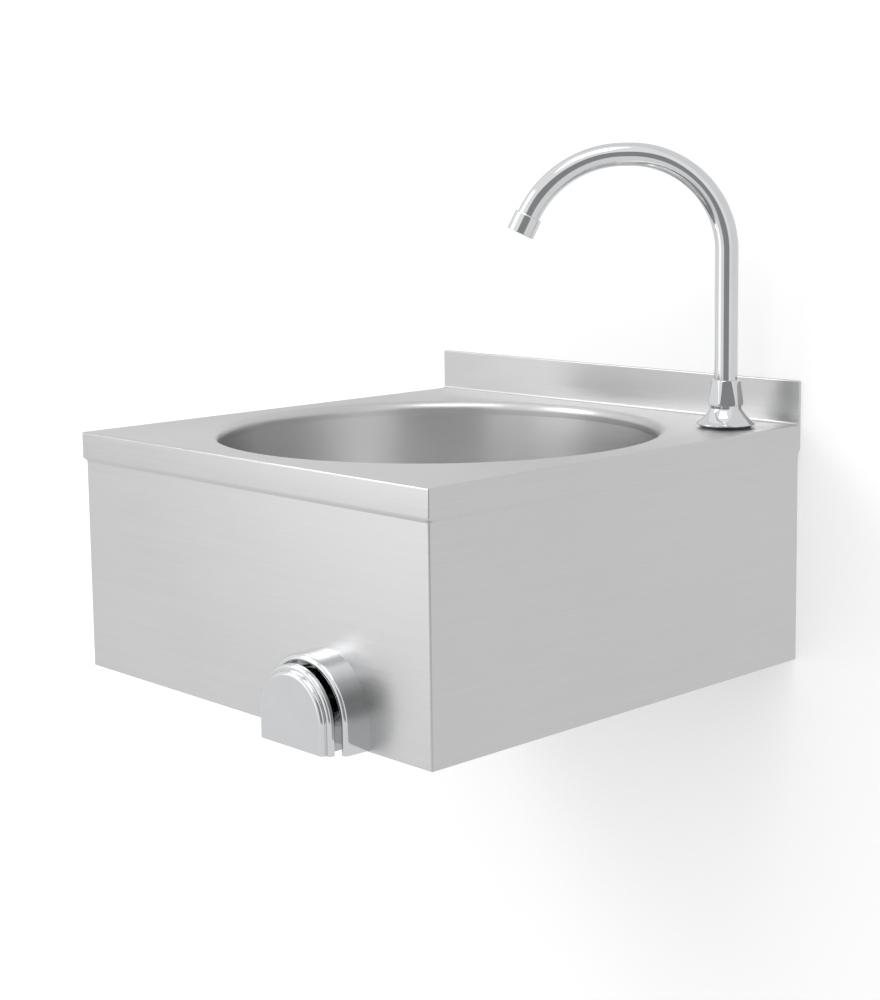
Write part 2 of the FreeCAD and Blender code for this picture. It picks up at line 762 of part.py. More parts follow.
def make_spout_nut():
    """Tapered hexagon nut: a cone cut by six leaning flats that run out on its foot."""
    foot_band = nut_low + nut_foot_band
    cone = turned_z([(0, nut_low), (nut_foot_radius, nut_low, nut_bevel),
                     (nut_foot_radius, foot_band), (nut_top_radius, nut_high, nut_bevel),
                     (0, nut_high)], spout_x, spout_y)
    slope = (nut_foot_flat - nut_top_flat) / gland_height
    outer = 2 * nut_foot_radius
    above = nut_high + cut_margin
    for index in range(6):
        wedge = outline([(nut_foot_flat, nut_low), (nut_top_flat - slope * cut_margin, above),
                         (outer, above), (outer, nut_low)],
                        lambda a, b: Vector(a, -outer, b)).extrude(Vector(0, 2 * outer, 0))
        wedge.rotate(Vector(0, 0, 0), Vector(0, 0, 1), spout_heading + 30 + 60 * index)
        wedge.translate(Vector(spout_x, spout_y, 0))
        cone = cone.cut(wedge)
    shoulder = tube_foot + turning_end_gap + glide_ring_height + turning_end_gap
    thread = shank_radius + screwed_gap
    below = nut_low - cut_margin
    bore = turned_z([(0, below), (thread, below), (thread, shoulder),
                     (tube_radius + turning_gap, shoulder), (tube_radius + turning_gap, above),
                     (0, above)], spout_x, spout_y)
    return cone.cut(bore)


def make_spout_flange():
    """Bell-shaped cover over the shank's collar, held down by the nut."""
    rim_low = deck_top + flange_rim_height
    rim_high = rim_low + flange_rim_edge
    neck_low = nut_low - flange_neck_height
    bore = shank_radius + 2 * screwed_gap
    inner_foot = flange_foot_radius - flange_wall
    place = lambda a, b: Vector(spout_x + a, spout_y, b)
    chord = Vector(flange_neck_radius - flange_rim_radius, 0, neck_low - rim_high)
    sag = Vector(-chord.z, 0, chord.x).normalize() * flange_bell_sag
    rim = place(flange_rim_radius, rim_high)
    neck = place(flange_neck_radius, neck_low)
    bell = Part.Arc(rim, rim + chord / 2 + sag, neck).toShape()
    loop = [(flange_neck_radius, neck_low), (flange_neck_radius, nut_low), (bore, nut_low),
            (bore, neck_low - flange_top_wall),
            (inner_foot, deck_top + shank_collar_height + flange_collar_gap),
            (inner_foot, deck_top), (flange_foot_radius, deck_top),
            (flange_rim_radius, rim_low), (flange_rim_radius, rim_high)]
    edges = [bell]
    for start, end in zip(loop, loop[1:]):
        edges.append(Part.makeLine(place(*start), place(*end)))
    face = Part.Face(Part.Wire(edges))
    return face.revolve(Vector(spout_x, spout_y, 0), Vector(0, 0, 1), 360)


def make_spout_shank():
    """Threaded shank through the deck: bore for the stem above, pipe socket below."""
    collar_foot = deck_top + deck_gasket_height
    collar_head = collar_foot + shank_collar_height
    bore_floor = shank_top - shank_bore_depth
    socket = pipe_radius + screwed_gap
    socket_end = shank_foot + olive_seat_depth + pipe_insertion
    return turned_z([(shank_radius, shank_foot), (shank_radius, collar_foot),
                     (shank_collar_radius, collar_foot), (shank_collar_radius, collar_head),
                     (shank_radius, collar_head), (shank_radius, shank_top),
                     (shank_bore_radius, shank_top), (shank_bore_radius, bore_floor),
                     (water_way_radius, bore_floor), (water_way_radius, socket_end),
                     (socket, socket_end), (socket, shank_foot + olive_seat_depth),
                     (olive_radius + screwed_gap, shank_foot + olive_seat_depth),
                     (olive_radius + screwed_gap, shank_foot)], spout_x, spout_y)


def make_deck_fixing():
    """Gasket above the deck; rubber washer, steel washer and backnut below it."""
    bore = shank_radius + deck_hole_clearance
    rubber_low = deck_under - tap_washer_rubber
    steel_low = rubber_low - tap_washer_steel
    gasket = turned_z(ring(bore, shank_collar_radius, deck_top, deck_top + deck_gasket_height),
                      spout_x, spout_y)
    rubber = turned_z(ring(bore, tap_washer_radius, rubber_low, deck_under), spout_x, spout_y)
    steel = turned_z(ring(bore, tap_washer_radius, steel_low, rubber_low), spout_x, spout_y)
    nut_foot = steel_low - backnut_height
    nut = hexagon(backnut_flats, Vector(spout_x, spout_y, nut_foot), Vector(0, 0, backnut_height))
    nut = nut.cut(cylinder(shank_radius + screwed_gap,
                           Vector(spout_x, spout_y, nut_foot - cut_margin),
                           Vector(spout_x, spout_y, steel_low + cut_margin)))
    return gasket, rubber, steel, nut


def along_tip(corners):
    """Turned piece on the axis of the spout's end; corners are (radius, distance down it)."""
    piece = turned_z([(radius, -distance, *rest) for radius, distance, *rest in corners], 0, 0)
    tip, heading = spout_tip()
    piece.Placement = FreeCAD.Placement(tip, FreeCAD.Rotation(Vector(0, 0, -1), heading))
    return piece


def aerator_stations():
    """Distances down the tip: tube's end, washer's end, insert's end."""
    washer_end = tube_socket + aerator_washer_height
    insert_end = aerator_length - aerator_lip
    return washer_end, insert_end


def make_aerator():
    """Aerator on the spout's end: screwed housing, flow insert and its washer."""
    washer_end, insert_end = aerator_stations()
    inside = aerator_radius - aerator_wall
    mouth = inside - aerator_lip_width
    tube_hole = tube_radius + screwed_gap
    housing = along_tip([(tube_hole, 0), (aerator_radius, 0, aerator_bevel),
                         (aerator_radius, aerator_length, aerator_edge_round),
                         (mouth, aerator_length), (mouth, insert_end), (inside, insert_end),
                         (inside, tube_socket), (tube_hole, tube_socket)])
    seated = inside - screwed_gap
    washer = along_tip(ring(tube_bore - aerator_washer_overlap, seated, tube_socket, washer_end))
    insert = along_tip(ring(0, seated, washer_end, insert_end))
    tip, heading = spout_tip()
    across = heading.cross(Vector(0, 0, 1)).normalize()
    for radius, count in ((0, 1), (aerator_inner_ring, aerator_inner_count),
                          (aerator_outer_ring, aerator_outer_count)):
        for index in range(count):
            turn = FreeCAD.Rotation(heading, 360 * index / count)
            centre = tip + turn.multVec(across) * radius
            insert = insert.cut(cylinder(aerator_hole_radius, centre,
                                         centre + heading * (aerator_length + cut_margin)))
    return housing, insert, washer


# ---- Pipe from the valve to the spout ----
shoulder_front = panel_inner + panel_washer_height
shoulder_back = shoulder_front + valve_shoulder_length
outlet_y = shoulder_back + outlet_setback + outlet_chamber_length / 2
outlet_top = valve_z + valve_barrel_radius + union_nut_grip + union_nut_wall


def outlet_pipe_points():
    """Corners of the pipe's route: up from the valve, beside the bowl, up to the shank."""
    insert = olive_seat_depth + pipe_insertion
    return [Vector(valve_x, outlet_y, outlet_top - insert),
            Vector(valve_x, outlet_y, pipe_level),
            Vector(pipe_corner_x, outlet_y, pipe_level),
            Vector(spout_x, spout_y, pipe_level),
            Vector(spout_x, spout_y, shank_foot + insert)]


def make_outlet_pipe():
    """Bent pipe from the valve's outlet to the spout's shank."""
    points = outlet_pipe_points()
    path = rounded_path(points, pipe_bend_radius)
    up = Vector(0, 0, 1)
    outside = swept_rod(path, pipe_radius, points[0], up)
    return outside.cut(swept_rod(path, pipe_radius - pipe_wall, points[0], up))


def make_union(x, y, end, side):
    """Union nut and olive on a pipe end; side is +1 where the pipe leaves upwards."""
    def level(distance):
        return end + side * distance

    hole = pipe_radius + screwed_gap
    olive_foot = level(olive_gap - olive_seat_depth)
    olive_tip_level = level(olive_stand)
    olive = turned_z([(hole, olive_foot), (olive_radius, olive_foot),
                      (olive_radius, level(olive_stand - olive_cone)),
                      (hole + olive_tip, olive_tip_level), (hole, olive_tip_level)], x, y)
    floor = olive_stand + olive_gap
    roof = floor + union_nut_wall
    nut = hexagon(union_nut_flats, Vector(x, y, level(roof)),
                  Vector(0, 0, -side * (roof + union_nut_grip)))
    neck = hole + olive_gap
    thread = union_thread_radius + screwed_gap
    outer_end = level(roof + cut_margin)
    inner_end = level(-union_nut_grip - cut_margin)
    bore = turned_z([(0, outer_end), (neck, outer_end), (neck, level(floor)),
                     (thread, level(floor)), (thread, inner_end), (0, inner_end)], x, y)
    return nut.cut(bore), olive


# ---- Knee valve ----
neck_end = panel_face - neck_front
neck_bore_end = neck_end + neck_bore_depth
seat_front = outlet_y + outlet_chamber_length / 2
seat_back = seat_front + seat_width
inlet_chamber_end = seat_back + inlet_chamber_length
barrel_end = inlet_chamber_end + rear_plug_thread
inlet_y = seat_back + inlet_chamber_length / 2 + inlet_setback


def depth(distance):
    """Y of a place that lies this far in front of the front panel."""
    return panel_face - distance


def make_valve_body():
    """Valve casting behind the panel: threaded neck, barrel, outlet on top, inlet each side."""
    body = turned_y([(0, neck_end), (neck_radius, neck_end), (neck_radius, shoulder_front),
                     (valve_shoulder_radius, shoulder_front),
                     (valve_shoulder_radius, shoulder_back),
                     (valve_barrel_radius, shoulder_back), (valve_barrel_radius, barrel_end),
                     (0, barrel_end)], valve_x, valve_z)
    axis_point = Vector(valve_x, outlet_y, valve_z)
    body = body.fuse(cylinder(union_thread_radius, axis_point,
                              Vector(valve_x, outlet_y, outlet_top)))
    for side in (-1, 1):
        centre = Vector(valve_x, inlet_y, valve_z)
        body = body.fuse(cylinder(inlet_boss_radius, centre,
                                  centre + Vector(side * inlet_boss_reach, 0, 0)))
    front = neck_end - cut_margin
    back = barrel_end + cut_margin
    cavity = turned_y([(0, front), (neck_bore_radius, front),
                       (neck_bore_radius, neck_bore_end), (outlet_chamber_radius, neck_bore_end),
                       (outlet_chamber_radius, seat_front), (seat_radius, seat_front),
                       (seat_radius, seat_back), (inlet_chamber_radius, seat_back),
                       (inlet_chamber_radius, back), (0, back)], valve_x, valve_z)
    socket = pipe_radius + screwed_gap
    seat = olive_radius + screwed_gap
    seat_floor = outlet_top - olive_seat_depth
    above = outlet_top + cut_margin
    outlet_bore = turned_z([(0, valve_z), (water_way_radius, valve_z),
                            (water_way_radius, seat_floor - pipe_insertion),
                            (socket, seat_floor - pipe_insertion), (socket, seat_floor),
                            (seat, seat_floor), (seat, above), (0, above)], valve_x, outlet_y)
    body = body.cut(cavity).cut(outlet_bore)
    for side in (-1, 1):
        centre = Vector(valve_x, inlet_y, valve_z)
        face = centre + Vector(side * (inlet_boss_reach + cut_margin), 0, 0)
        socket_floor = Vector(side * (inlet_boss_reach - inlet_screwed_length), 0, 0)
        body = body.cut(cylinder(inlet_socket_radius, centre + socket_floor, face))
        body = body.cut(cylinder(inlet_bore_radius, centre, face))
    return one_solid(body)


def make_rear_plug():
    """Hexagon plug that closes the barrel, with a cup for the end of the disc's stem."""
    head = hexagon(rear_plug_flats, Vector(valve_x, barrel_end, valve_z),
                   Vector(0, rear_plug_head, 0))
    cup = plunger_stem_radius + rear_plug_cup_gap
    cup_floor = inlet_chamber_end + rear_plug_cup
    radius = inlet_chamber_radius - screwed_gap
    thread = turned_y([(0, cup_floor), (cup, cup_floor), (cup, inlet_chamber_end),
                       (radius, inlet_chamber_end), (radius, barrel_end), (0, barrel_end)],
                      valve_x, valve_z)
    return one_solid(head.fuse(thread))


def make_panel_fixing():
    """Washer behind the panel, and the locknut that holds the shroud and panel to the neck."""
    bore = neck_radius + screwed_gap
    washer = turned_y(ring(neck_radius + neck_hole_clearance, panel_washer_radius,
                           panel_inner, shoulder_front), valve_x, valve_z)
    back = depth(base_plate)
    front = back - locknut_height
    nut = hexagon(locknut_flats, Vector(valve_x, back, valve_z), Vector(0, -locknut_height, 0))
    nut = nut.cut(cylinder(bore, Vector(valve_x, back + cut_margin, valve_z),
                           Vector(valve_x, front - cut_margin, valve_z)))
    return washer, nut


def make_gland():
    """Gland nut in the neck, which guides the plunger, and the seal in its groove."""
    hole = plunger_radius + turning_gap
    groove_floor = hole + 2 * seal_section_radius
    end = neck_end + gland_thread
    seal_y = end - seal_from_end
    half = gland_groove_width / 2
    head = hexagon(gland_flats, Vector(valve_x, neck_end, valve_z), Vector(0, -gland_head, 0))
    head = head.cut(cylinder(hole, Vector(valve_x, neck_end + cut_margin, valve_z),
                             Vector(valve_x, neck_end - gland_head - cut_margin, valve_z)))
    thread = neck_bore_radius - screwed_gap
    barrel = turned_y([(hole, neck_end), (thread, neck_end), (thread, end), (hole, end),
                       (hole, seal_y + half), (groove_floor, seal_y + half),
                       (groove_floor, seal_y - half), (hole, seal_y - half)], valve_x, valve_z)
    seal = Part.makeTorus(hole + seal_section_radius, seal_section_radius,
                          Vector(valve_x, seal_y, valve_z), Vector(0, 1, 0))
    return one_solid(head.fuse(barrel)), seal


def make_plunger():
    """Plunger from the pad's boss to the closing disc, with a thin stem through the seat."""
    front = depth(pad_inside_depth)
    stem_start = outlet_y - outlet_chamber_length / 2
    disc_front = seat_back + valve_disc_gap
    stem_end = disc_front + valve_disc_height + plunger_stem_end
    return turned_y([(0, front), (plunger_radius, front, plunger_round),
                     (plunger_radius, stem_start), (plunger_stem_radius, stem_start),
                     (plunger_stem_radius, stem_end), (0, stem_end)], valve_x, valve_z)


def make_valve_disc():
    """Rubber-faced disc on the stem, which closes against the seat."""
    front = seat_back + valve_disc_gap
    return turned_y(ring(plunger_stem_radius + screwed_gap, valve_disc_radius, front,
                         front + valve_disc_height), valve_x, valve_z)


def arch(corners, drop):
    """Arch round the valve axis: half turned, half straight legs; corners are (radius, depth)."""
    face = outline(corners, lambda radius, distance: Vector(valve_x + radius, depth(distance),
                                                            valve_z))
    crown = face.revolve(Vector(valve_x, 0, valve_z), Vector(0, 1, 0), -180)
    right = face.extrude(Vector(0, 0, -drop))
    left = right.mirror(Vector(valve_x, 0, 0), Vector(1, 0, 0))
    return crown.fuse([right, left])


def make_knee_base():
    """Arched shroud round the valve's neck: drafted wall, rolled front ring, back plate."""
    drop = valve_rise - base_foot_gap
    ring_back = base_depth - base_wall
    wall = arch([(base_radius, 0), (base_front_radius, base_depth, base_round),
                 (base_opening_radius, base_depth, base_edge_round),
                 (base_opening_radius, ring_back, base_edge_round),
                 (base_front_radius - base_wall, ring_back, base_inner_round),
                 (base_radius - base_wall, 0)], drop)
    plate = arch(ring(0, base_radius - base_wall, 0, base_plate), drop)
    relief = arch(ring(0, base_radius - base_gasket_inset, -cut_margin, base_gasket_height),
                  drop - base_gasket_inset)
    return one_solid(wall.fuse(plate).cut(neck_hole(base_plate)).cut(relief))


def neck_hole(front_depth):
    """Cutting cylinder for the valve's neck, through whatever lies on the panel up to this depth."""
    return cylinder(neck_radius + neck_hole_clearance,
                    Vector(valve_x, depth(-cut_margin), valve_z),
                    Vector(valve_x, depth(front_depth + cut_margin), valve_z))


def make_knee_base_gasket():
    """Foam sheet in the shallow recess at the back of the shroud."""
    inset = base_gasket_inset + base_gasket_gap
    sheet = arch(ring(0, base_radius - inset, 0, base_gasket_height),
                 valve_rise - base_foot_gap - inset)
    return one_solid(sheet.cut(neck_hole(base_gasket_height)))


def make_knee_pad():
    """Stepped arch-shaped pad: flat face, two rolled tiers, inner sleeve and boss."""
    drop = valve_rise - pad_foot_gap
    inside_tier = pad_tier_depth - pad_wall
    inside_radius = pad_tier_radius - pad_wall
    cap = arch([(0, pad_front_depth), (pad_tier_radius, pad_front_depth, pad_tier_round),
                (pad_tier_radius, pad_tier_depth, pad_edge_round),
                (pad_skirt_radius, pad_tier_depth, pad_skirt_round),
                (pad_skirt_radius, pad_back_depth, pad_edge_round),
                (pad_sleeve_radius, pad_back_depth), (pad_sleeve_radius, inside_tier),
                (inside_radius, inside_tier), (inside_radius, pad_inside_depth),
                (0, pad_inside_depth)], drop)
    sleeve = arch(ring(pad_sleeve_radius - pad_sleeve_wall, pad_sleeve_radius, pad_sleeve_back,
                       inside_tier + pad_overlap), drop - pad_sleeve_lift)
    boss = cylinder(pad_boss_radius, Vector(valve_x, depth(pad_inside_depth + pad_overlap), valve_z),
                    Vector(valve_x, depth(pad_boss_back), valve_z))
    bore = cylinder(plunger_radius + screwed_gap, Vector(valve_x, depth(pad_inside_depth), valve_z),
                    Vector(valve_x, depth(0), valve_z))
    screw_y = depth(pad_screw_depth)
    screw_hole = cylinder(pad_screw_radius + screwed_gap, Vector(valve_x, screw_y, valve_z),
                          Vector(valve_x, screw_y, valve_z - pad_boss_radius - cut_margin))
    return one_solid(cap.fuse([sleeve, boss]).cut(bore).cut(screw_hole))


def make_pad_screw():
    """Grub screw from below, which holds the pad's boss on the plunger."""
    y = depth(pad_screw_depth)
    top = valve_z - plunger_radius - turning_gap
    foot = top - pad_screw_length
    screw = turned_z(ring(0, pad_screw_radius, foot, top), valve_x, y)
    key = hexagon(pad_screw_key, Vector(valve_x, y, foot - cut_margin),
                  Vector(0, 0, cut_margin + pad_screw_length / 2))
    return screw.cut(key)


def make_inlet(side):
    """Screwed inlet nipple with its gasket, check valve and filter; side is -1 or +1."""
    face = valve_x + side * inlet_boss_reach
    hex_start = face + side * inlet_gasket_height
    hex_end = hex_start + side * inlet_hex_length
    mouth = hex_end + side * inlet_thread_length
    screw_end = face - side * (inlet_screwed_length - inlet_screw_gap)
    thread = inlet_socket_radius - screwed_gap
    pocket_end = mouth - side * (filter_depth + check_valve_length)
    nipple = hexagon(inlet_hex_flats, Vector(hex_start, inlet_y, valve_z),
                     Vector(side * inlet_hex_length, 0, 0))
    nipple = nipple.fuse(cylinder(inlet_thread_radius, Vector(hex_end, inlet_y, valve_z),
                                  Vector(mouth, inlet_y, valve_z)))
    nipple = nipple.fuse(cylinder(thread, Vector(screw_end, inlet_y, valve_z),
                                  Vector(hex_start, inlet_y, valve_z)))
    cut_start = Vector(screw_end - side * cut_margin, inlet_y, valve_z)
    outside = Vector(mouth + side * cut_margin, inlet_y, valve_z)
    nipple = nipple.cut(cylinder(inlet_bore_radius, cut_start, outside))
    pocket = inlet_bore_radius + inlet_pocket_step
    nipple = nipple.cut(cylinder(pocket, Vector(pocket_end, inlet_y, valve_z), outside))
    gasket = turned_x(ring(inlet_socket_radius + inlet_gasket_gap, inlet_boss_radius, face,
                           hex_start), inlet_y, valve_z)
    fit = pocket - screwed_gap
    check_end = pocket_end + side * check_valve_length
    cup_floor = check_end - side * check_valve_cup
    cone_end = cup_floor - side * check_valve_cone
    check = turned_x([(check_valve_outlet_radius, pocket_end), (fit, pocket_end),
                      (fit, check_end), (check_valve_inlet_radius, check_end),
                      (check_valve_inlet_radius, cup_floor),
                      (check_valve_outlet_radius, cone_end)], inlet_y, valve_z)
    filter_end = mouth - side * filter_inset
    filter_floor = check_end + side * filter_wall
    strainer = turned_x([(0, filter_floor), (0, check_end), (fit, check_end), (fit, filter_end),
                         (fit - filter_wall, filter_end), (fit - filter_wall, filter_floor)],
                        inlet_y, valve_z)
    return one_solid(nipple), gasket, check, strainer


# ---- Return spring ----
spring_back = neck_end - gland_head
spring_front = depth(pad_inside_depth) + spring_seat_gap
spring_length = spring_back - spring_front


def spring_point(turns):
    """Point of the spring's centreline after so many turns; close end turns, open middle."""
    rise = spring_length - 2 * spring_wire_radius
    pitch = (rise - 2 * spring_end_turns * spring_end_pitch) / spring_active_turns
    first = min(turns, spring_end_turns)
    middle = min(max(turns - spring_end_turns, 0), spring_active_turns)
    last = max(turns - spring_end_turns - spring_active_turns, 0)
    climb = (first + last) * spring_end_pitch + middle * pitch
    angle = 2 * math.pi * turns
    return Vector(valve_x + spring_mean_radius * math.cos(angle),
                  spring_back - spring_wire_radius - climb,
                  valve_z + spring_mean_radius * math.sin(angle))


def spring_heading(turns):
    """Unit tangent of the centreline, averaged over a short stretch."""
    step = 0.02
    return (spring_point(turns + step) - spring_point(turns - step)).normalize()


def biarc(start, start_heading, end, end_heading):
    """Two arcs from start to end that leave and arrive along the two headings."""
    chord = end - start
    headings = start_heading + end_heading
    square = headings.dot(headings) - 4
    cross = -2 * chord.dot(headings)
    constant = chord.dot(chord)
    reach = (-cross - math.sqrt(cross * cross - 4 * square * constant)) / (2 * square)
    first_corner = start + start_heading * reach
    second_corner = end - end_heading * reach
    joint = (first_corner + second_corner) / 2
    arcs = []
    for tail, corner, head in ((start, first_corner, joint), (joint, second_corner, end)):
        centre = (tail + head) / 2
        half_chord = tail.distanceToPoint(centre)
        height = corner - centre
        half_angle = math.atan2(height.Length, half_chord)
        middle = centre + height.normalize() * (half_chord * math.tan(half_angle / 2))
        arcs.append(Part.Arc(tail, middle, head).toShape())
    return arcs


def make_return_spring():
    """Compression spring between the gland nut and the pad, as one unbroken wire."""
    total = 2 * spring_end_turns + spring_active_turns
    quarter = 0.25
    edges = []
    for index in range(int(round(total / quarter))):
        here = index * quarter
        ahead = here + quarter
        edges += biarc(spring_point(here), spring_heading(here),
                       spring_point(ahead), spring_heading(ahead))
    path = Part.Wire(edges)
    wire = swept_rod(path, spring_wire_radius, spring_point(0), spring_heading(0))
    report_spring_gap(total)
    return wire


def report_spring_gap(total):
    """Prints the least gap between neighbouring turns, measured on points of the centreline."""
    samples = 120
    points = [spring_point(total * index / samples) for index in range(samples + 1)]
    apart = int(samples / total * 0.75)
    least = min(points[i].distanceToPoint(points[j]) for i in range(samples + 1)
                for j in range(i + apart, samples + 1))
    print("return_spring least gap %.2f mm" % (least - 2 * spring_wire_radius))


def all_parts():
    """Every piece by its node's name."""
    gasket_upper, gasket_lower = make_drain_gaskets()
    flange_gasket, tap_rubber, tap_steel, backnut = make_deck_fixing()
    housing, insert, washer = make_aerator()
    upper_nut, upper_olive = make_union(spout_x, spout_y, shank_foot, -1)
    lower_nut, lower_olive = make_union(valve_x, outlet_y, outlet_top, 1)
    panel_washer, locknut = make_panel_fixing()
    gland_nut, plunger_seal = make_gland()
    parts = {
        "deck": make_deck(),
        "bowl": make_bowl(),
        "apron": make_apron(),
        "hanger_rail": make_hanger_rail(),
        "drain_strainer": make_drain_strainer(),
        "drain_gasket_upper": gasket_upper,
        "drain_gasket_lower": gasket_lower,
        "drain_body": make_drain_body(),
        "drain_screw": make_drain_screw(),
        "spout_tube": make_spout_tube(),
        "spout_collar": make_spout_collar(),
        "spout_o_rings": make_spout_o_rings(),
        "spout_glide_ring": make_glide_ring(),
        "spout_nut": make_spout_nut(),
        "spout_flange": make_spout_flange(),
        "spout_shank": make_spout_shank(),
        "spout_gasket": flange_gasket,
        "tap_rubber_washer": tap_rubber,
        "tap_steel_washer": tap_steel,
        "tap_backnut": backnut,
        "aerator_housing": housing,
        "aerator_insert": insert,
        "aerator_washer": washer,
        "outlet_pipe": make_outlet_pipe(),
        "pipe_nut_upper": upper_nut,
        "pipe_olive_upper": upper_olive,
        "pipe_nut_lower": lower_nut,
        "pipe_olive_lower": lower_olive,
        "valve_body": make_valve_body(),
        "valve_rear_plug": make_rear_plug(),
        "valve_panel_washer": panel_washer,
        "valve_locknut": locknut,
        "gland_nut": gland_nut,
        "plunger_seal": plunger_seal,
        "plunger": make_plunger(),
        "valve_disc": make_valve_disc(),
        "knee_base": make_knee_base(),
        "knee_base_gasket": make_knee_base_gasket(),
        "knee_pad": make_knee_pad(),
        "pad_screw": make_pad_screw(),
        "return_spring": make_return_spring(),
    }
    for name, side in (("hot", -1), ("cold", 1)):
        nipple, gasket, check, strainer = make_inlet(side)
        parts["inlet_nipple_" + name] = nipple
        parts["inlet_gasket_" + name] = gasket
        parts["check_valve_" + name] = check
        parts["inlet_filter_" + name] = strainer
    return parts


for node, shape in all_parts().items():
    shape.exportStep("parts/" + node + ".step")
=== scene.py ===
"""Dressed model of a stainless steel hand wash sink with a knee valve, hung on a wall.

Metres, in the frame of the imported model: +X is right, +Y goes into the wall, +Z is up. Pieces
that show close up are surfaces worked out here and stand for their solids; the rest keep theirs.
"""
import json
import math
import bmesh
import bpy
import numpy as np
from mathutils import Matrix, Vector


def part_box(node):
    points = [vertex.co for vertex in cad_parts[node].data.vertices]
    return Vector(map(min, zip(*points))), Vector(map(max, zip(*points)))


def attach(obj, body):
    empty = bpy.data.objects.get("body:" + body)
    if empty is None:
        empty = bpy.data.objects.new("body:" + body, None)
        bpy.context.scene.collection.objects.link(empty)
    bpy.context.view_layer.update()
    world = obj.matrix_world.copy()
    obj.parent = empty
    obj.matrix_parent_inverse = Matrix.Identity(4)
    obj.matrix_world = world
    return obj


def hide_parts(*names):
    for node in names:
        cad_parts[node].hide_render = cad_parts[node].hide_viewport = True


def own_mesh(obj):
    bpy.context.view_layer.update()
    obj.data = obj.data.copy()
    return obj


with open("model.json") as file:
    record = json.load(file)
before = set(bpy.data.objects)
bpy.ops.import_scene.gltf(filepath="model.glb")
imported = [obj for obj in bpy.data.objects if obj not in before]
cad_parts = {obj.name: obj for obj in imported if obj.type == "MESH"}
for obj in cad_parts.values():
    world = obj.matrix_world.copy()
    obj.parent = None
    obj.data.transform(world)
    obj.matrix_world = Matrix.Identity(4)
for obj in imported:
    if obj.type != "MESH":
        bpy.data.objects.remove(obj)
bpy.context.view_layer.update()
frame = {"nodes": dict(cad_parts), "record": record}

# ---- Places read from the frame ----
bowl_low, bowl_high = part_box("bowl")
bowl_centre = (bowl_low + bowl_high) / 2
flange_low, flange_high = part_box("spout_flange")
deck_level = flange_low.z
nut_low, nut_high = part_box("spout_nut")
spout_axis = (nut_low + nut_high) / 2
tube_low, tube_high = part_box("spout_tube")
base_low, base_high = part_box("knee_base")
pad_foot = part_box("knee_pad")[0].z
panel_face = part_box("apron")[0].y

# ---- Sizes of the sheet metal ----
deck_sheet = 0.0012
bowl_sheet = 0.0010
bowl_radius = (bowl_high.x - bowl_low.x) / 2 - deck_sheet
bowl_depth = 0.130
bowl_floor = deck_level - bowl_depth
bowl_draft = 0.0105
bowl_heel_radius = 0.060
floor_fall = 0.003
recess_radius = 0.0345
recess_depth = 0.0035
recess_slope = 0.0015
recess_round = 0.0016
drain_hole_radius = 0.024

# ---- Sizes of the spout ----
tube_radius = 0.009
tube_wall = 0.001
spout_heading = math.radians(227.0)
first_bend_radius = 0.075
crown_straight = 0.005
second_bend_radius = 0.081
second_bend_angle = math.radians(64.0)
tube_socket = 0.005
aerator_radius = 0.01085
aerator_length = 0.0154
aerator_bevel = 0.0012
aerator_wall = 0.00135
aerator_lip = 0.0010
aerator_lip_width = 0.0012
aerator_mouth_round = 0.0006
fit_gap = 0.00005
nut_foot_radius = 0.0136
nut_top_radius = 0.0109
nut_foot_flat = 0.0124
nut_top_flat = 0.0105
nut_foot_band = 0.0022
nut_bevel = 0.0008
nut_edge_softness = 0.00022
nut_step = 0.0015
nut_around = 360
flange_rim_radius = 0.02275
flange_foot_radius = 0.019
flange_rim_height = 0.0022
flange_rim_edge = 0.0009
flange_neck_radius = 0.012
flange_neck_height = 0.0024
flange_wall = 0.0016
flange_bell_sag = 0.0011
flange_foot_round = 0.0005
flange_rim_round = 0.0004
flange_neck_round = 0.0006
flange_top_round = 0.0003
flange_neck_wall = 0.001
flange_hollow_height = 0.0055
shank_radius = 0.01025

# ---- Sizes of the knee valve ----
valve_axis_x = (base_low.x + base_high.x) / 2
base_radius = (base_high.x - base_low.x) / 2
valve_axis_z = base_high.z - base_radius
base_taper = 0.0012
base_front_radius = base_radius - base_taper
base_depth = 0.021
base_wall = 0.0026
base_round = 0.003
base_opening_radius = 0.0385
base_lip_round = 0.0008
base_inner_round = 0.0004
base_plate = 0.002
neck_hole_radius = 0.0133
pad_skirt_radius = 0.0375
pad_tier_radius = 0.0335
pad_front_depth = 0.0335
pad_tier_depth = 0.030
pad_back_depth = 0.0255
pad_skirt_round = 0.0022
pad_tier_round = 0.0028
pad_step_round = 0.0004
pad_back_round = 0.0005
pad_wall = 0.0022
pad_sleeve_radius = 0.0342
pad_sleeve_wall = 0.0016
pad_sleeve_back = 0.012
pad_sleeve_lift = 0.0018
pad_boss_radius = 0.009
pad_boss_length = 0.0086
plunger_radius = 0.006

# ---- Sizes of the return spring ----
spring_low, spring_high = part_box("return_spring")
spring_wire_radius = 0.00075
spring_mean_radius = 0.0109
spring_end_pitch = 0.002
spring_end_turns = 1.0
spring_active_turns = 2.5

TAU = 2 * math.pi


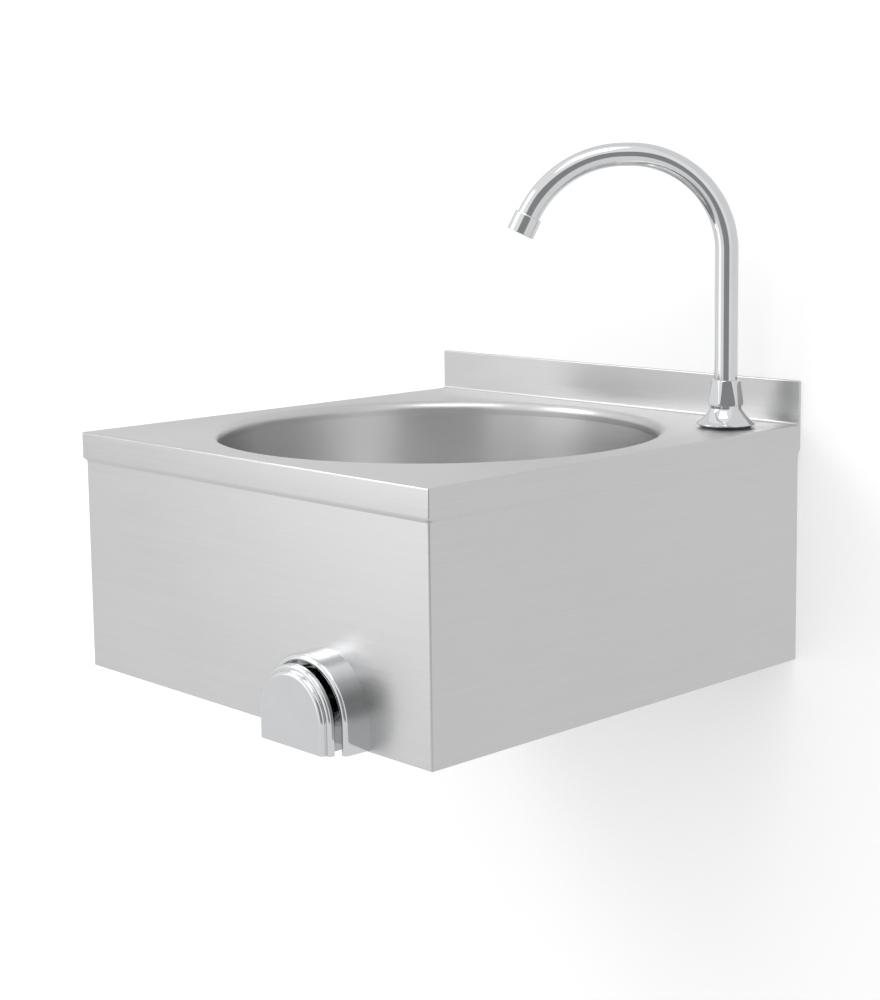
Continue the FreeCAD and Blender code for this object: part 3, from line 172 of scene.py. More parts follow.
# ---- Surfaces ----
def rounded(corners, steps=8):
    """Profile through corners (a, b) or (a, b, radius). A corner with a radius becomes a tangent
    arc: centre + radius (cos t, sin t), with t running evenly between its tangent directions."""
    flat = np.array([corner[:2] for corner in corners], float)
    radii = [corner[2] if len(corner) > 2 else 0.0 for corner in corners]
    pieces = []
    for index, here in enumerate(flat):
        if radii[index] == 0:
            pieces.append(here[None, :])
            continue
        to_before = flat[index - 1] - here
        to_after = flat[(index + 1) % len(flat)] - here
        to_before /= np.linalg.norm(to_before)
        to_after /= np.linalg.norm(to_after)
        half = math.acos(np.clip(to_before @ to_after, -1, 1)) / 2
        bisector = to_before + to_after
        centre = here + bisector / np.linalg.norm(bisector) * radii[index] / math.sin(half)
        start = here + to_before * radii[index] / math.tan(half) - centre
        sweep = math.pi - 2 * half
        turn = np.sign(to_before[1] * to_after[0] - to_before[0] * to_after[1])
        angle = math.atan2(start[1], start[0]) + turn * np.linspace(0, sweep, steps + 1)
        ring = np.stack([np.cos(angle), np.sin(angle)], 1)
        pieces.append(centre + radii[index] * ring)
    return np.concatenate(pieces)


def refined(profile, longest, closed=False):
    """The same profile with its long runs divided, so that no chord is longer than longest."""
    ends = np.roll(profile, -1, 0) if closed else profile[1:]
    pieces = []
    for start, end in zip(profile, ends):
        count = max(1, math.ceil(np.linalg.norm(end - start) / longest))
        share = np.arange(count)[:, None] / count
        pieces.append(start + (end - start) * share)
    if not closed:
        pieces.append(profile[-1:])
    return np.concatenate(pieces)


def turned(profile, segments):
    """Surface of revolution: (radius cos u, radius sin u, height), with u once round and v along
    the profile."""
    angle = np.arange(segments)[:, None] * TAU / segments
    radius = profile[None, :, 0]
    height = np.broadcast_to(profile[None, :, 1], (segments, len(profile)))
    return np.stack([radius * np.cos(angle), radius * np.sin(angle), height], 2)


def arch_stations(drop, crown_steps, leg_steps):
    """The arch's route for a radius of 1: sideways share, upward share and the height of the
    straight legs."""
    leg = np.linspace(-drop, 0, leg_steps + 1)[:-1]
    crown = np.linspace(math.pi, 0, crown_steps + 1)
    zero = np.zeros_like(leg)
    side = np.concatenate([-np.ones_like(leg), np.cos(crown), np.ones_like(leg)])
    lift = np.concatenate([zero, np.sin(crown), zero])
    height = np.concatenate([leg, np.zeros_like(crown), leg[::-1]])
    return side, lift, height


def arched(profile, drop, crown_steps=72, leg_steps=10):
    """Arch carried round the valve's axis: u goes up the left leg, over the half turn and down the
    right leg. A profile point (radius, depth) lies at
    (radius side(u), -depth, radius lift(u) + height(u))."""
    side, lift, height = arch_stations(drop, crown_steps, leg_steps)
    radius = profile[None, :, 0]
    depth = np.broadcast_to(profile[None, :, 1], (len(side), len(profile)))
    return np.stack([radius * side[:, None], -depth, radius * lift[:, None] + height[:, None]], 2)


def grid_faces(rows, columns, offset, wrap_rows, wrap_columns):
    """Quads between neighbouring grid points, as rows of four point numbers."""
    row = np.arange(rows if wrap_rows else rows - 1)[:, None]
    column = np.arange(columns if wrap_columns else columns - 1)[None, :]
    next_row = (row + 1) % rows
    next_column = (column + 1) % columns
    quads = np.stack([row * columns + column, next_row * columns + column,
                      next_row * columns + next_column, row * columns + next_column], 2)
    return quads.reshape(-1, 4) + offset


def make_mesh(name, sheets, sharp=32.0):
    """Mesh of several grids (points, wraps along u, wraps along v, end caps). Points that coincide
    are merged, faces without area go, normals point outwards and edges sharper than the angle stay
    crisp."""
    points = []
    faces = []
    offset = 0
    for grid, wrap_u, wrap_v, caps in sheets:
        rows, columns = grid.shape[:2]
        points.append(grid.reshape(-1, 3))
        faces += grid_faces(rows, columns, offset, wrap_u, wrap_v).tolist()
        if caps:
            first = offset + np.arange(columns)
            faces.append(first.tolist())
            faces.append((first + (rows - 1) * columns)[::-1].tolist())
        offset += rows * columns
    mesh = bpy.data.meshes.new(name)
    mesh.from_pydata(np.concatenate(points).tolist(), [], faces)
    work = bmesh.new()
    work.from_mesh(mesh)
    bmesh.ops.remove_doubles(work, verts=work.verts, dist=1e-7)
    bmesh.ops.dissolve_degenerate(work, dist=1e-8, edges=work.edges)
    bmesh.ops.recalc_face_normals(work, faces=work.faces)
    work.to_mesh(mesh)
    work.free()
    mesh.polygons.foreach_set("use_smooth", np.ones(len(mesh.polygons), bool))
    mesh.set_sharp_from_angle(angle=math.radians(sharp))
    return mesh


def make_piece(name, sheets, body, finish, stands_for, sharp=32.0):
    """Piece from its grids: it rides on a body, takes a slot's finish and stands for its nodes."""
    piece = bpy.data.objects.new(name, make_mesh(name, sheets, sharp))
    bpy.context.scene.collection.objects.link(piece)
    piece.data.materials.append(finish)
    weigh_normals(piece)
    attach(piece, body)
    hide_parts(*stands_for)
    return piece


def weigh_normals(piece):
    """Shading follows the large faces, so that a flat panel stays flat beside its rounded edge."""
    weigh = piece.modifiers.new("weighed_normals", "WEIGHTED_NORMAL")
    weigh.keep_sharp = True
    weigh.weight = 50


def shifted(grid, x=0.0, y=0.0, z=0.0):
    """Grid moved to its place."""
    return grid + np.array([x, y, z])


# ---- Finishes ----
class Value:
    """A shader socket that takes part in Python expressions. Each operator adds its Math node."""

    def __init__(self, finish, socket):
        self.finish = finish
        self.socket = socket

    def math(self, operation, *others):
        sockets = {0: self}
        sockets.update({index + 1: other for index, other in enumerate(others)})
        return self.finish.node("ShaderNodeMath", {"operation": operation}, sockets)

    def flipped(self, operation, other):
        return self.finish.node("ShaderNodeMath", {"operation": operation}, {0: other, 1: self})

    def __add__(self, other):
        return self.math("ADD", other)

    def __mul__(self, other):
        return self.math("MULTIPLY", other)

    def __sub__(self, other):
        return self.math("SUBTRACT", other)

    def __rsub__(self, other):
        return self.flipped("SUBTRACT", other)

    def __truediv__(self, other):
        return self.math("DIVIDE", other)

    def __rtruediv__(self, other):
        return self.flipped("DIVIDE", other)

    def __pow__(self, other):
        return self.math("POWER", other)

    def __gt__(self, other):
        return self.math("GREATER_THAN", other)

    def __abs__(self):
        return self.math("ABSOLUTE")

    __radd__ = __add__
    __rmul__ = __mul__


class Finish:
    """The node tree of one material or world, with one way to add a node."""

    def __init__(self, tree):
        self.tree = tree
        tree.nodes.clear()

    def node(self, kind, settings=None, sockets=None, output=0):
        """Adds a node: its settings first, then its sockets, as values or links. Sockets and the
        output go by name or number."""
        made = self.tree.nodes.new(kind)
        for key, value in (settings or {}).items():
            if key == "stops":
                fill_ramp(made.color_ramp, value)
            else:
                setattr(made, key, value)
        for key, value in (sockets or {}).items():
            if isinstance(value, Value):
                self.tree.links.new(value.socket, made.inputs[key])
            else:
                made.inputs[key].default_value = value
        return Value(self, made.outputs[output]) if len(made.outputs) else made

    def place(self):
        """Object coordinates, split into x, y and z."""
        point = self.node("ShaderNodeTexCoord", output="Object")
        return point, [self.node("ShaderNodeSeparateXYZ", sockets={0: point}, output=axis)
                       for axis in range(3)]

    def facing(self, axis):
        """One part of the surface's own normal, in the object's frame."""
        normal = self.node("ShaderNodeTexCoord", output="Normal")
        return self.node("ShaderNodeSeparateXYZ", sockets={0: normal}, output=axis)

    def vector(self, x, y, z):
        return self.node("ShaderNodeCombineXYZ", sockets={0: x, 1: y, 2: z})

    def noise(self, vector, scale=1.0, detail=3.0, roughness=0.55):
        """Fractal noise about 0.5."""
        return self.node("ShaderNodeTexNoise", sockets={
            "Vector": vector, "Scale": scale, "Detail": detail, "Roughness": roughness})

    def ramp(self, value, *stops):
        """Colour ramp; a stop is (place, colour)."""
        return self.node("ShaderNodeValToRGB", {"stops": stops}, {0: value})

    def mix(self, share, first, second):
        """Colour that goes from the first to the second as share goes from 0 to 1. The node's
        colour sockets share their names with its others, so they go by number."""
        return self.node("ShaderNodeMix", {"data_type": "RGBA"}, {0: share, 6: first, 7: second},
                         output=2)

    def bump(self, height, strength, distance):
        return self.node("ShaderNodeBump", sockets={
            "Height": height, "Strength": strength, "Distance": distance})


def fill_ramp(ramp, stops):
    """Gives a colour ramp its stops."""
    while len(ramp.elements) < len(stops):
        ramp.elements.new(0.5)
    for element, (place, colour) in zip(ramp.elements, stops):
        element.position = place
        element.color = colour


def grey(level):
    return (level, level, level, 1.0)


def new_finish(name):
    """An empty material with its node tree."""
    material = bpy.data.materials.new(name)
    material.use_nodes = True
    return material, Finish(material.node_tree)


def metal(finish, colour, roughness, normal=None, metallic=1.0, **constants):
    """Closes a finish with its main shader; constants go to sockets that stay the same all over."""
    sockets = {"Base Color": colour, "Roughness": roughness, "Metallic": metallic}
    if normal is not None:
        sockets["Normal"] = normal
    sockets.update({name.replace("_", " "): value for name, value in constants.items()})
    shader = finish.node("ShaderNodeBsdfPrincipled", sockets=sockets)
    finish.node("ShaderNodeOutputMaterial", sockets={0: shader})


steel_dark = grey(0.565)
steel_light = grey(0.665)
grain_turn = 0.25
grain_height = 0.00012


def sheet_steel():
    """Satin sheet. The belt leaves grain along the sheet: noise drawn out about 170 times along X
    and Y on upright faces, and along X on level ones. Broad soft clouds vary the sheen, as wiping
    leaves them."""
    material, finish = new_finish("brushed_sheet_steel")
    point, (x, y, z) = finish.place()
    level_from = 0.7
    along, across = 9, 1500
    level = abs(finish.facing("Z")) > level_from
    upright_place = finish.vector(x * along, y * along, z * across)
    upright_grain = finish.noise(upright_place, detail=4, roughness=0.65)
    level_place = finish.vector(x * along, y * across, z * along)
    level_grain = finish.noise(level_place, detail=4, roughness=0.65)
    grain = upright_grain * (1 - level) + level_grain * level
    clouds = finish.noise(point, scale=7, detail=2)
    shade = 0.5 + (grain - 0.5) * 0.9 + (clouds - 0.5) * 0.35
    colour = finish.mix(shade, steel_dark, steel_light)
    roughness = 0.33 + (grain - 0.5) * 0.16 + (clouds - 0.5) * 0.06
    normal = finish.bump(grain, 0.10, grain_height)
    metal(finish, colour, roughness, normal, Anisotropic=0.65, Anisotropic_Rotation=grain_turn)
    return material


def bowl_steel():
    """Satin of a drawn bowl: the grain runs round the bowl's axis, so the noise is drawn out along
    the angle."""
    material, finish = new_finish("brushed_bowl_steel")
    point, (x, y, z) = finish.place()
    across = x - bowl_centre.x
    deep = y - bowl_centre.y
    radius = (across * across + deep * deep) ** 0.5
    angle = deep.math("ARCTAN2", across)
    across_grain, round_grain = 1300, 2.2
    place = finish.vector(radius * across_grain, z * across_grain, angle * round_grain)
    grain = finish.noise(place, detail=4, roughness=0.65)
    clouds = finish.noise(point, scale=11, detail=2)
    shade = 0.5 + (grain - 0.5) * 0.8 + (clouds - 0.5) * 0.4
    colour = finish.mix(shade, steel_dark, steel_light)
    roughness = 0.31 + (grain - 0.5) * 0.14 + (clouds - 0.5) * 0.06
    normal = finish.bump(grain, 0.08, grain_height)
    metal(finish, colour, roughness, normal, Anisotropic=0.6, Anisotropic_Rotation=grain_turn)
    return material


def chrome_plate():
    """Polished plate: nearly a mirror, with faint wiping marks in its sheen and a soft wave."""
    material, finish = new_finish("polished_chrome")
    point, _ = finish.place()
    wiping = finish.noise(point, scale=160, detail=4, roughness=0.7)
    clouds = finish.noise(point, scale=35, detail=2)
    dark, light = (0.66, 0.67, 0.68, 1.0), (0.72, 0.73, 0.74, 1.0)
    colour = finish.mix(clouds, dark, light)
    roughness = 0.035 + wiping * 0.05
    metal(finish, colour, roughness, finish.bump(clouds, 0.03, 0.0002))
    return material


def turned_metal(name, dark, light, sheen):
    """Machined metal: fine rings along the height and a little tarnish in clouds."""
    material, finish = new_finish(name)
    point, (x, y, z) = finish.place()
    rings = finish.noise(finish.vector(x * 60, y * 60, z * 2600), detail=3)
    tarnish = finish.noise(point, scale=70, detail=4)
    colour = finish.mix(0.6 * tarnish + 0.4 * rings, dark, light)
    metal(finish, colour, sheen + (rings - 0.5) * 0.12 + (tarnish - 0.5) * 0.15,
          finish.bump(rings, 0.12, 0.0001))
    return material


def moulded(name, dark, light, sheen):
    """Rubber, fibre or plastic: fine pores, a soft mottle and an uneven sheen."""
    material, finish = new_finish(name)
    point, _ = finish.place()
    pores = finish.noise(point, scale=900, detail=3)
    mottle = finish.noise(point, scale=60, detail=3)
    colour = finish.mix(mottle, dark, light)
    metal(finish, colour, sheen + (mottle - 0.5) * 0.2, finish.bump(pores, 0.2, 0.0001),
          metallic=0.0)
    return material


def make_finishes():
    """Each slot of the record with its finish."""
    return {
        "brushed_stainless": sheet_steel(),
        "chrome_plate": chrome_plate(),
        "bare_brass": turned_metal("machined_brass", (0.50, 0.34, 0.13, 1),
                                   (0.72, 0.54, 0.27, 1), 0.28),
        "copper": turned_metal("drawn_copper", (0.45, 0.19, 0.11, 1),
                               (0.74, 0.40, 0.26, 1), 0.30),
        "bright_steel": turned_metal("turned_steel", grey(0.45), grey(0.62), 0.27),
        "black_rubber": moulded("black_rubber", grey(0.012), grey(0.03), 0.6),
        "red_fibre": moulded("red_fibre", (0.28, 0.05, 0.03, 1), (0.42, 0.10, 0.06, 1), 0.75),
        "pale_plastic": moulded("pale_plastic", grey(0.66), grey(0.76), 0.42),
    }


finishes = make_finishes()
bowl_finish = bowl_steel()


# ---- Bowl ----
def make_bowl():
    """Bowl turned about its upright axis: steep wall, heel arc, floor that falls to the drain's
    recess."""
    foot = bowl_radius - bowl_draft
    top = bowl_high.z
    heel = bowl_floor + floor_fall
    recess_floor = bowl_floor - recess_depth
    inside = [(bowl_radius, top), (foot, heel, bowl_heel_radius),
              (recess_radius + recess_slope, bowl_floor, recess_round),
              (recess_radius, recess_floor, recess_round), (drain_hole_radius, recess_floor)]
    outside = [(drain_hole_radius, recess_floor - bowl_sheet),
               (recess_radius + bowl_sheet, recess_floor - bowl_sheet, recess_round),
               (recess_radius + recess_slope + bowl_sheet, bowl_floor - bowl_sheet, recess_round),
               (foot + bowl_sheet, heel - bowl_sheet, bowl_heel_radius + bowl_sheet),
               (bowl_radius + deck_sheet, top)]
    profile = refined(rounded(inside + outside, steps=20), longest=0.006, closed=True)
    grid = shifted(turned(profile, segments=288), bowl_centre.x, bowl_centre.y)
    make_piece("drawn_bowl", [(grid, True, True, False)], "basin",
               bowl_finish, ["bowl"])


# ---- Spout ----
def spout_line():
    """Centreline in its own upright plane: ahead, height, the tangent's pitch and where the second
    bend ends. Straight up, a quarter turn, a short straight, the second bend and a straight end."""
    rise_rings, first_rings, second_rings, short_rings = 24, 40, 36, 3
    bend_start = tube_high.z - tube_radius - first_bend_radius
    crown = bend_start + first_bend_radius
    rise = np.linspace(tube_low.z, bend_start, rise_rings)[:-1]
    first = np.linspace(0, math.pi / 2, first_rings)[:-1]
    over = np.linspace(0, crown_straight, short_rings)[:-1]
    second = np.linspace(0, second_bend_angle, second_rings)[:-1]
    end = np.linspace(0, tube_socket, short_rings)
    over_ahead = first_bend_radius + crown_straight
    tip_ahead = over_ahead + second_bend_radius * math.sin(second_bend_angle)
    tip_height = crown - second_bend_radius * (1 - math.cos(second_bend_angle))
    ahead = np.concatenate([
        0 * rise, first_bend_radius * (1 - np.cos(first)), first_bend_radius + over,
        over_ahead + second_bend_radius * np.sin(second),
        tip_ahead + end * math.cos(second_bend_angle)])
    height = np.concatenate([
        rise, bend_start + first_bend_radius * np.sin(first), crown + 0 * over,
        crown - second_bend_radius * (1 - np.cos(second)),
        tip_height - end * math.sin(second_bend_angle)])
    pitch = np.concatenate([0 * rise + math.pi / 2, math.pi / 2 - first, 0 * over, -second,
                            0 * end - second_bend_angle])
    return ahead, height, pitch, (tip_ahead, tip_height)


def spout_place(ahead, sideways, height):
    """Point of the spout's own plane in the frame: ahead along its heading, sideways square to
    it."""
    cosine, sine = math.cos(spout_heading), math.sin(spout_heading)
    x = spout_axis.x + ahead * cosine - sideways * sine
    y = spout_axis.y + ahead * sine + sideways * cosine
    return np.stack(np.broadcast_arrays(x, y, height), -1)


def tube_grid(radius, around=64):
    """Tube round the spout's centreline: centre + radius (cos v normal + sin v sideways)."""
    ahead, height, pitch, _ = spout_line()
    turn = np.arange(around)[None, :] * TAU / around
    out = radius * np.cos(turn)
    return spout_place(ahead[:, None] - out * np.sin(pitch)[:, None], radius * np.sin(turn),
                       height[:, None] + out * np.cos(pitch)[:, None])


def make_tube():
    """Bent tube with its bore: the outer and the inner wall, joined by a flat ring at each end."""
    outer = tube_grid(tube_radius)
    inner = tube_grid(tube_radius - tube_wall)
    ends = [np.stack([outer[index], inner[index]]) for index in (0, -1)]
    sheets = [(outer, False, True, False), (inner, False, True, False)]
    sheets += [(end, False, True, False) for end in ends]
    make_piece("swan_neck_tube", sheets, "spout", finishes["chrome_plate"],
               ["spout_tube"])


def nut_grid(heights):
    """Tapered hexagon nut: at each height the radius is the lesser of the cone's and the flats',
    rounded where they meet by a soft minimum: (a + b - sqrt((a - b)^2 + s^2)) / 2."""
    low, high = nut_low.z, nut_high.z
    share = (heights - low) / (high - low)
    band = np.clip((heights - low - nut_foot_band) / (high - low - nut_foot_band), 0, 1)
    cone = nut_foot_radius + (nut_top_radius - nut_foot_radius) * band
    bevel_low = np.clip(1 - (heights - low) / nut_bevel, 0, 1)
    bevel_high = np.clip(1 - (high - heights) / nut_bevel, 0, 1)
    cone = cone - nut_bevel * (1 - np.sqrt(1 - bevel_low ** 2) + 1 - np.sqrt(1 - bevel_high ** 2))
    flat = nut_foot_flat + (nut_top_flat - nut_foot_flat) * share
    angle = np.arange(nut_around) * TAU / nut_around
    sector = TAU / 6
    within = (angle - spout_heading) % sector - sector / 2
    flats = flat[None, :] / np.cos(within)[:, None]
    cones = np.broadcast_to(cone[None, :], flats.shape)
    gap = cones - flats
    radius = (cones + flats - np.sqrt(gap ** 2 + nut_edge_softness ** 2)) / 2
    return np.stack([spout_axis.x + radius * np.cos(angle)[:, None],
                     spout_axis.y + radius * np.sin(angle)[:, None],
                     np.broadcast_to(heights[None, :], radius.shape)], 2)


def make_nut():
    """Outer skin of the nut, closed by the stepped bore over the shank and the tube."""
    bevel_rings, wall_rings = 7, 72
    low, high = nut_low.z, nut_high.z
    bevel = np.linspace(0, nut_bevel, bevel_rings)
    wall = np.linspace(low + nut_bevel, high - nut_bevel, wall_rings)[1:-1]
    skin = nut_grid(np.concatenate([low + bevel, wall, high - bevel[::-1]]))
    step = tube_low.z + nut_step
    bore = np.array([(tube_radius + fit_gap, high), (tube_radius + fit_gap, step),
                     (shank_radius + fit_gap, step), (shank_radius + fit_gap, low)])
    hole = turned(refined(bore, longest=0.003), segments=nut_around)
    hole = shifted(hole, spout_axis.x, spout_axis.y)
    top = np.stack([skin[:, -1], hole[:, 0]], 1)
    bottom = np.stack([skin[:, 0], hole[:, -1]], 1)
    sheets = [(grid, True, False, False) for grid in (skin, hole, top, bottom)]
    make_piece("tapered_hexagon_nut", sheets, "basin",
               finishes["chrome_plate"], ["spout_nut"], sharp=40)


def make_flange():
    """Bell-shaped cover, turned: foot, rolled rim, bell arc, neck and hollow inside. The bell is
    the chord from rim to neck, moved square to itself by 4 sag t (1 - t)."""
    rim_low = deck_level + flange_rim_height
    rim_high = rim_low + flange_rim_edge
    top = flange_high.z
    neck_low = top - flange_neck_height
    start = np.array([flange_rim_radius, rim_high])
    chord = np.array([flange_neck_radius, neck_low]) - start
    across = np.array([-chord[1], chord[0]]) / np.linalg.norm(chord)
    bell_rings = 24
    share = np.linspace(0, 1, bell_rings)
    sag = 4 * flange_bell_sag * share * (1 - share)
    bell = start + chord * share[:, None] + across * sag[:, None]
    bore = shank_radius + 2 * fit_gap
    inner = flange_foot_radius - flange_wall
    edge = rounded([(inner, deck_level), (flange_foot_radius, deck_level, flange_foot_round),
                    (flange_rim_radius, rim_low, flange_rim_round),
                    (flange_rim_radius, rim_high, flange_rim_round), tuple(bell[1])], steps=5)[:-1]
    neck = rounded([tuple(bell[-2]), (flange_neck_radius, neck_low, flange_neck_round),
                    (flange_neck_radius, top, flange_top_round), (bore, top)], steps=5)[1:]
    hollow = np.array([(bore, neck_low - flange_neck_wall),
                       (inner, deck_level + flange_hollow_height)])
    profile = np.concatenate([edge, bell[1:-1], neck, hollow])
    profile = refined(profile, longest=0.003, closed=True)
    grid = shifted(turned(profile, segments=224), spout_axis.x, spout_axis.y)
    make_piece("bell_flange", [(grid, True, True, False)], "basin",
               finishes["chrome_plate"], ["spout_flange"], sharp=40)


def along_tip(grid):
    """Grid turned about Z, laid on the axis of the spout's end: its +Z becomes the flow's
    direction."""
    _, _, _, (ahead, height) = spout_line()
    down, level = math.sin(second_bend_angle), math.cos(second_bend_angle)
    out, side, along = grid[..., 0], grid[..., 1], grid[..., 2]
    return spout_place(ahead + along * level + out * down, side,
                       height - along * down + out * level)


def make_aerator_housing():
    """Screwed housing of the aerator: bevelled shoulder, straight wall, inner step and lip."""
    inside = aerator_radius - aerator_wall
    mouth = inside - aerator_lip_width
    hole = tube_radius + fit_gap
    profile = rounded([(hole, 0), (aerator_radius, 0, aerator_bevel),
                       (aerator_radius, aerator_length, aerator_mouth_round),
                       (mouth, aerator_length), (mouth, aerator_length - aerator_lip),
                       (inside, aerator_length - aerator_lip), (inside, tube_socket),
                       (hole, tube_socket)])
    grid = along_tip(turned(refined(profile, longest=0.002, closed=True), segments=128))
    make_piece("aerator_shell", [(grid, True, True, False)], "spout",
               finishes["chrome_plate"], ["aerator_housing"], sharp=40)


# ---- Knee valve ----
def at_valve(grid):
    """Grid made round the valve's axis, moved to the front panel."""
    return shifted(grid, valve_axis_x, panel_face, valve_axis_z)


def make_knee_pad():
    """Stepped pad: one profile carried along the arch and closed at its feet, with its sleeve and
    its boss."""
    drop = valve_axis_z - pad_foot
    front = pad_front_depth - pad_wall
    tier = pad_tier_depth - pad_wall
    cap = rounded([(0, pad_front_depth), (pad_tier_radius, pad_front_depth, pad_tier_round),
                   (pad_tier_radius, pad_tier_depth, pad_step_round),
                   (pad_skirt_radius, pad_tier_depth, pad_skirt_round),
                   (pad_skirt_radius, pad_back_depth, pad_back_round),
                   (pad_sleeve_radius, pad_back_depth),
                   (pad_sleeve_radius, tier), (pad_tier_radius - pad_wall, tier),
                   (pad_tier_radius - pad_wall, front), (0, front)])
    sleeve_bore = pad_sleeve_radius - pad_sleeve_wall
    sleeve = np.array([(sleeve_bore, pad_sleeve_back), (pad_sleeve_radius, pad_sleeve_back),
                       (pad_sleeve_radius, tier), (sleeve_bore, tier)])
    boss_bore = plunger_radius + fit_gap
    boss = np.array([(boss_bore, pad_boss_length), (pad_boss_radius, pad_boss_length),
                     (pad_boss_radius, 0), (boss_bore, 0)])
    cap_grid = arched(refined(cap, longest=0.003), drop)
    sleeve_grid = arched(refined(sleeve, longest=0.004, closed=True), drop - pad_sleeve_lift)
    boss_grid = turned(boss, segments=96)[..., [0, 2, 1]] - np.array([0, front, 0])
    sheets = [(at_valve(cap_grid), False, False, True),
              (at_valve(sleeve_grid), False, True, True),
              (at_valve(boss_grid), True, True, False)]
    make_piece("stepped_knee_pad", sheets, "knee_push",
               finishes["chrome_plate"], ["knee_pad"], sharp=40)


def plate_grid(inner, outer, drop, depth, around=180, rings=6):
    """Plate between a round hole and the arch's outline: rays from the hole's edge to the outline,
    which is a half circle above the axis and runs straight down to the foot below it."""
    nearly_zero = 1e-9
    corner = math.atan2(drop, outer)
    upper = np.linspace(0, math.pi, around // 2 + 1)
    side = np.linspace(math.pi, math.pi + corner, around // 12 + 1)[1:]
    foot = np.linspace(math.pi + corner, TAU - corner, around // 3 + 1)[1:]
    last = np.linspace(TAU - corner, TAU, around // 12 + 1)[1:-1]
    angle = np.concatenate([upper, side, foot, last])
    down = np.maximum(-np.sin(angle), nearly_zero)
    across = np.maximum(np.abs(np.cos(angle)), nearly_zero)
    reach = np.where(np.sin(angle) >= 0, outer, np.minimum(outer / across, drop / down))
    share = np.linspace(0, 1, rings)[None, :]
    radius = inner + (reach[:, None] - inner) * share
    return np.stack([radius * np.cos(angle)[:, None], np.full(radius.shape, -depth),
                     radius * np.sin(angle)[:, None]], 2)


def make_knee_shroud():
    """Arched shroud: its wall's profile carried along the arch, and the back plate with the neck's
    hole."""
    drop = valve_axis_z - base_low.z
    inner_front = base_front_radius - base_wall
    inner_back = base_radius - base_wall
    wall = rounded([(base_radius, 0), (base_front_radius, base_depth, base_round),
                    (base_opening_radius, base_depth, base_lip_round),
                    (base_opening_radius, base_depth - base_wall, base_lip_round),
                    (inner_front, base_depth - base_wall, base_inner_round), (inner_back, 0)])
    wall_grid = arched(refined(wall, longest=0.003, closed=True), drop)
    front = plate_grid(neck_hole_radius, inner_back, drop, base_plate)
    back = plate_grid(neck_hole_radius, inner_back, drop, 0.0)
    hole = np.stack([front[:, 0], back[:, 0]], 1)
    rim = np.stack([front[:, -1], back[:, -1]], 1)
    sheets = [(at_valve(wall_grid), False, True, True)]
    sheets += [(at_valve(grid), True, False, False) for grid in (front, back, hole, rim)]
    make_piece("arched_shroud", sheets, "basin", finishes["chrome_plate"],
               ["knee_base"], sharp=40)


def spring_grid(around=16, steps_in_turn=40):
    """Wire round a helix: centre + wire radius (cos v outwards + sin v sideways). The centre runs
    at the mean radius and climbs slowly over each end turn, and evenly over the open turns between
    them."""
    total = 2 * spring_end_turns + spring_active_turns
    turns = np.linspace(0, total, round(total * steps_in_turn) + 1)
    rise = spring_high.y - spring_low.y - 2 * spring_wire_radius
    end_rise = spring_end_turns * spring_end_pitch
    climb = np.interp(turns, [0, spring_end_turns, total - spring_end_turns, total],
                      [0, end_rise, rise - end_rise, rise])
    outwards = np.stack([np.cos(TAU * turns), 0 * turns, np.sin(TAU * turns)], 1)
    start = np.array([valve_axis_x, spring_high.y - spring_wire_radius, valve_axis_z])
    centre = start + spring_mean_radius * outwards - climb[:, None] * np.array([0, 1, 0])
    heading = np.gradient(centre, axis=0)
    heading /= np.linalg.norm(heading, axis=1)[:, None]
    sideways = np.cross(heading, outwards)
    turn = np.arange(around)[None, :, None] * TAU / around
    ring = np.cos(turn) * outwards[:, None, :] + np.sin(turn) * sideways[:, None, :]
    return centre[:, None, :] + spring_wire_radius * ring


def make_return_spring():
    """Return spring at rest. As the pad goes in it would be pressed together towards the gland nut;
    that share is worked out here and not applied.
    """
    spring = make_piece("return_coil", [(spring_grid(), False, True, True)], "basin",
                        finishes["bright_steel"], ["return_spring"])
    joints = {joint["name"]: joint for joint in frame["record"]["behaviour"]["joints"]}
    travel = joints["knee_slide"]["range_m"][1]
    1 - travel / (spring_high.y - spring_low.y)
    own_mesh(spring)


# ---- Solids that stay ----
def dress_solids(bowed_angle=28.0):
    """Gives each solid that stays its slot's finish, and smooth shading with crisp edges."""
    slots = {row["node"]: row["material_slot"] for row in frame["record"]["subparts"]}
    for name, node in frame["nodes"].items():
        if node.hide_render:
            continue
        for place in node.material_slots:
            place.material = finishes[slots[name]]
        node.data.polygons.foreach_set("use_smooth", np.ones(len(node.data.polygons), bool))
        weld = node.modifiers.new("joined_faces", "WELD")
        weld.merge_threshold = 1e-6
        split = node.modifiers.new("crisp_edges", "EDGE_SPLIT")
        split.split_angle = math.radians(bowed_angle)
        weigh_normals(node)


# ---- Stage, light and camera ----
wall_gap = 0.0006
wall_reach = 3.0
floor_level = -0.85
room_height = 1.9


def stage_plane(name, corners, material):
    """Flat stage plane through four corners; it is no part of the object."""
    mesh = bpy.data.meshes.new(name)
    mesh.from_pydata(corners, [], [(0, 1, 2, 3)])
    plane = bpy.data.objects.new(name, mesh)
    bpy.context.scene.collection.objects.link(plane)
    mesh.materials.append(material)
    return plane


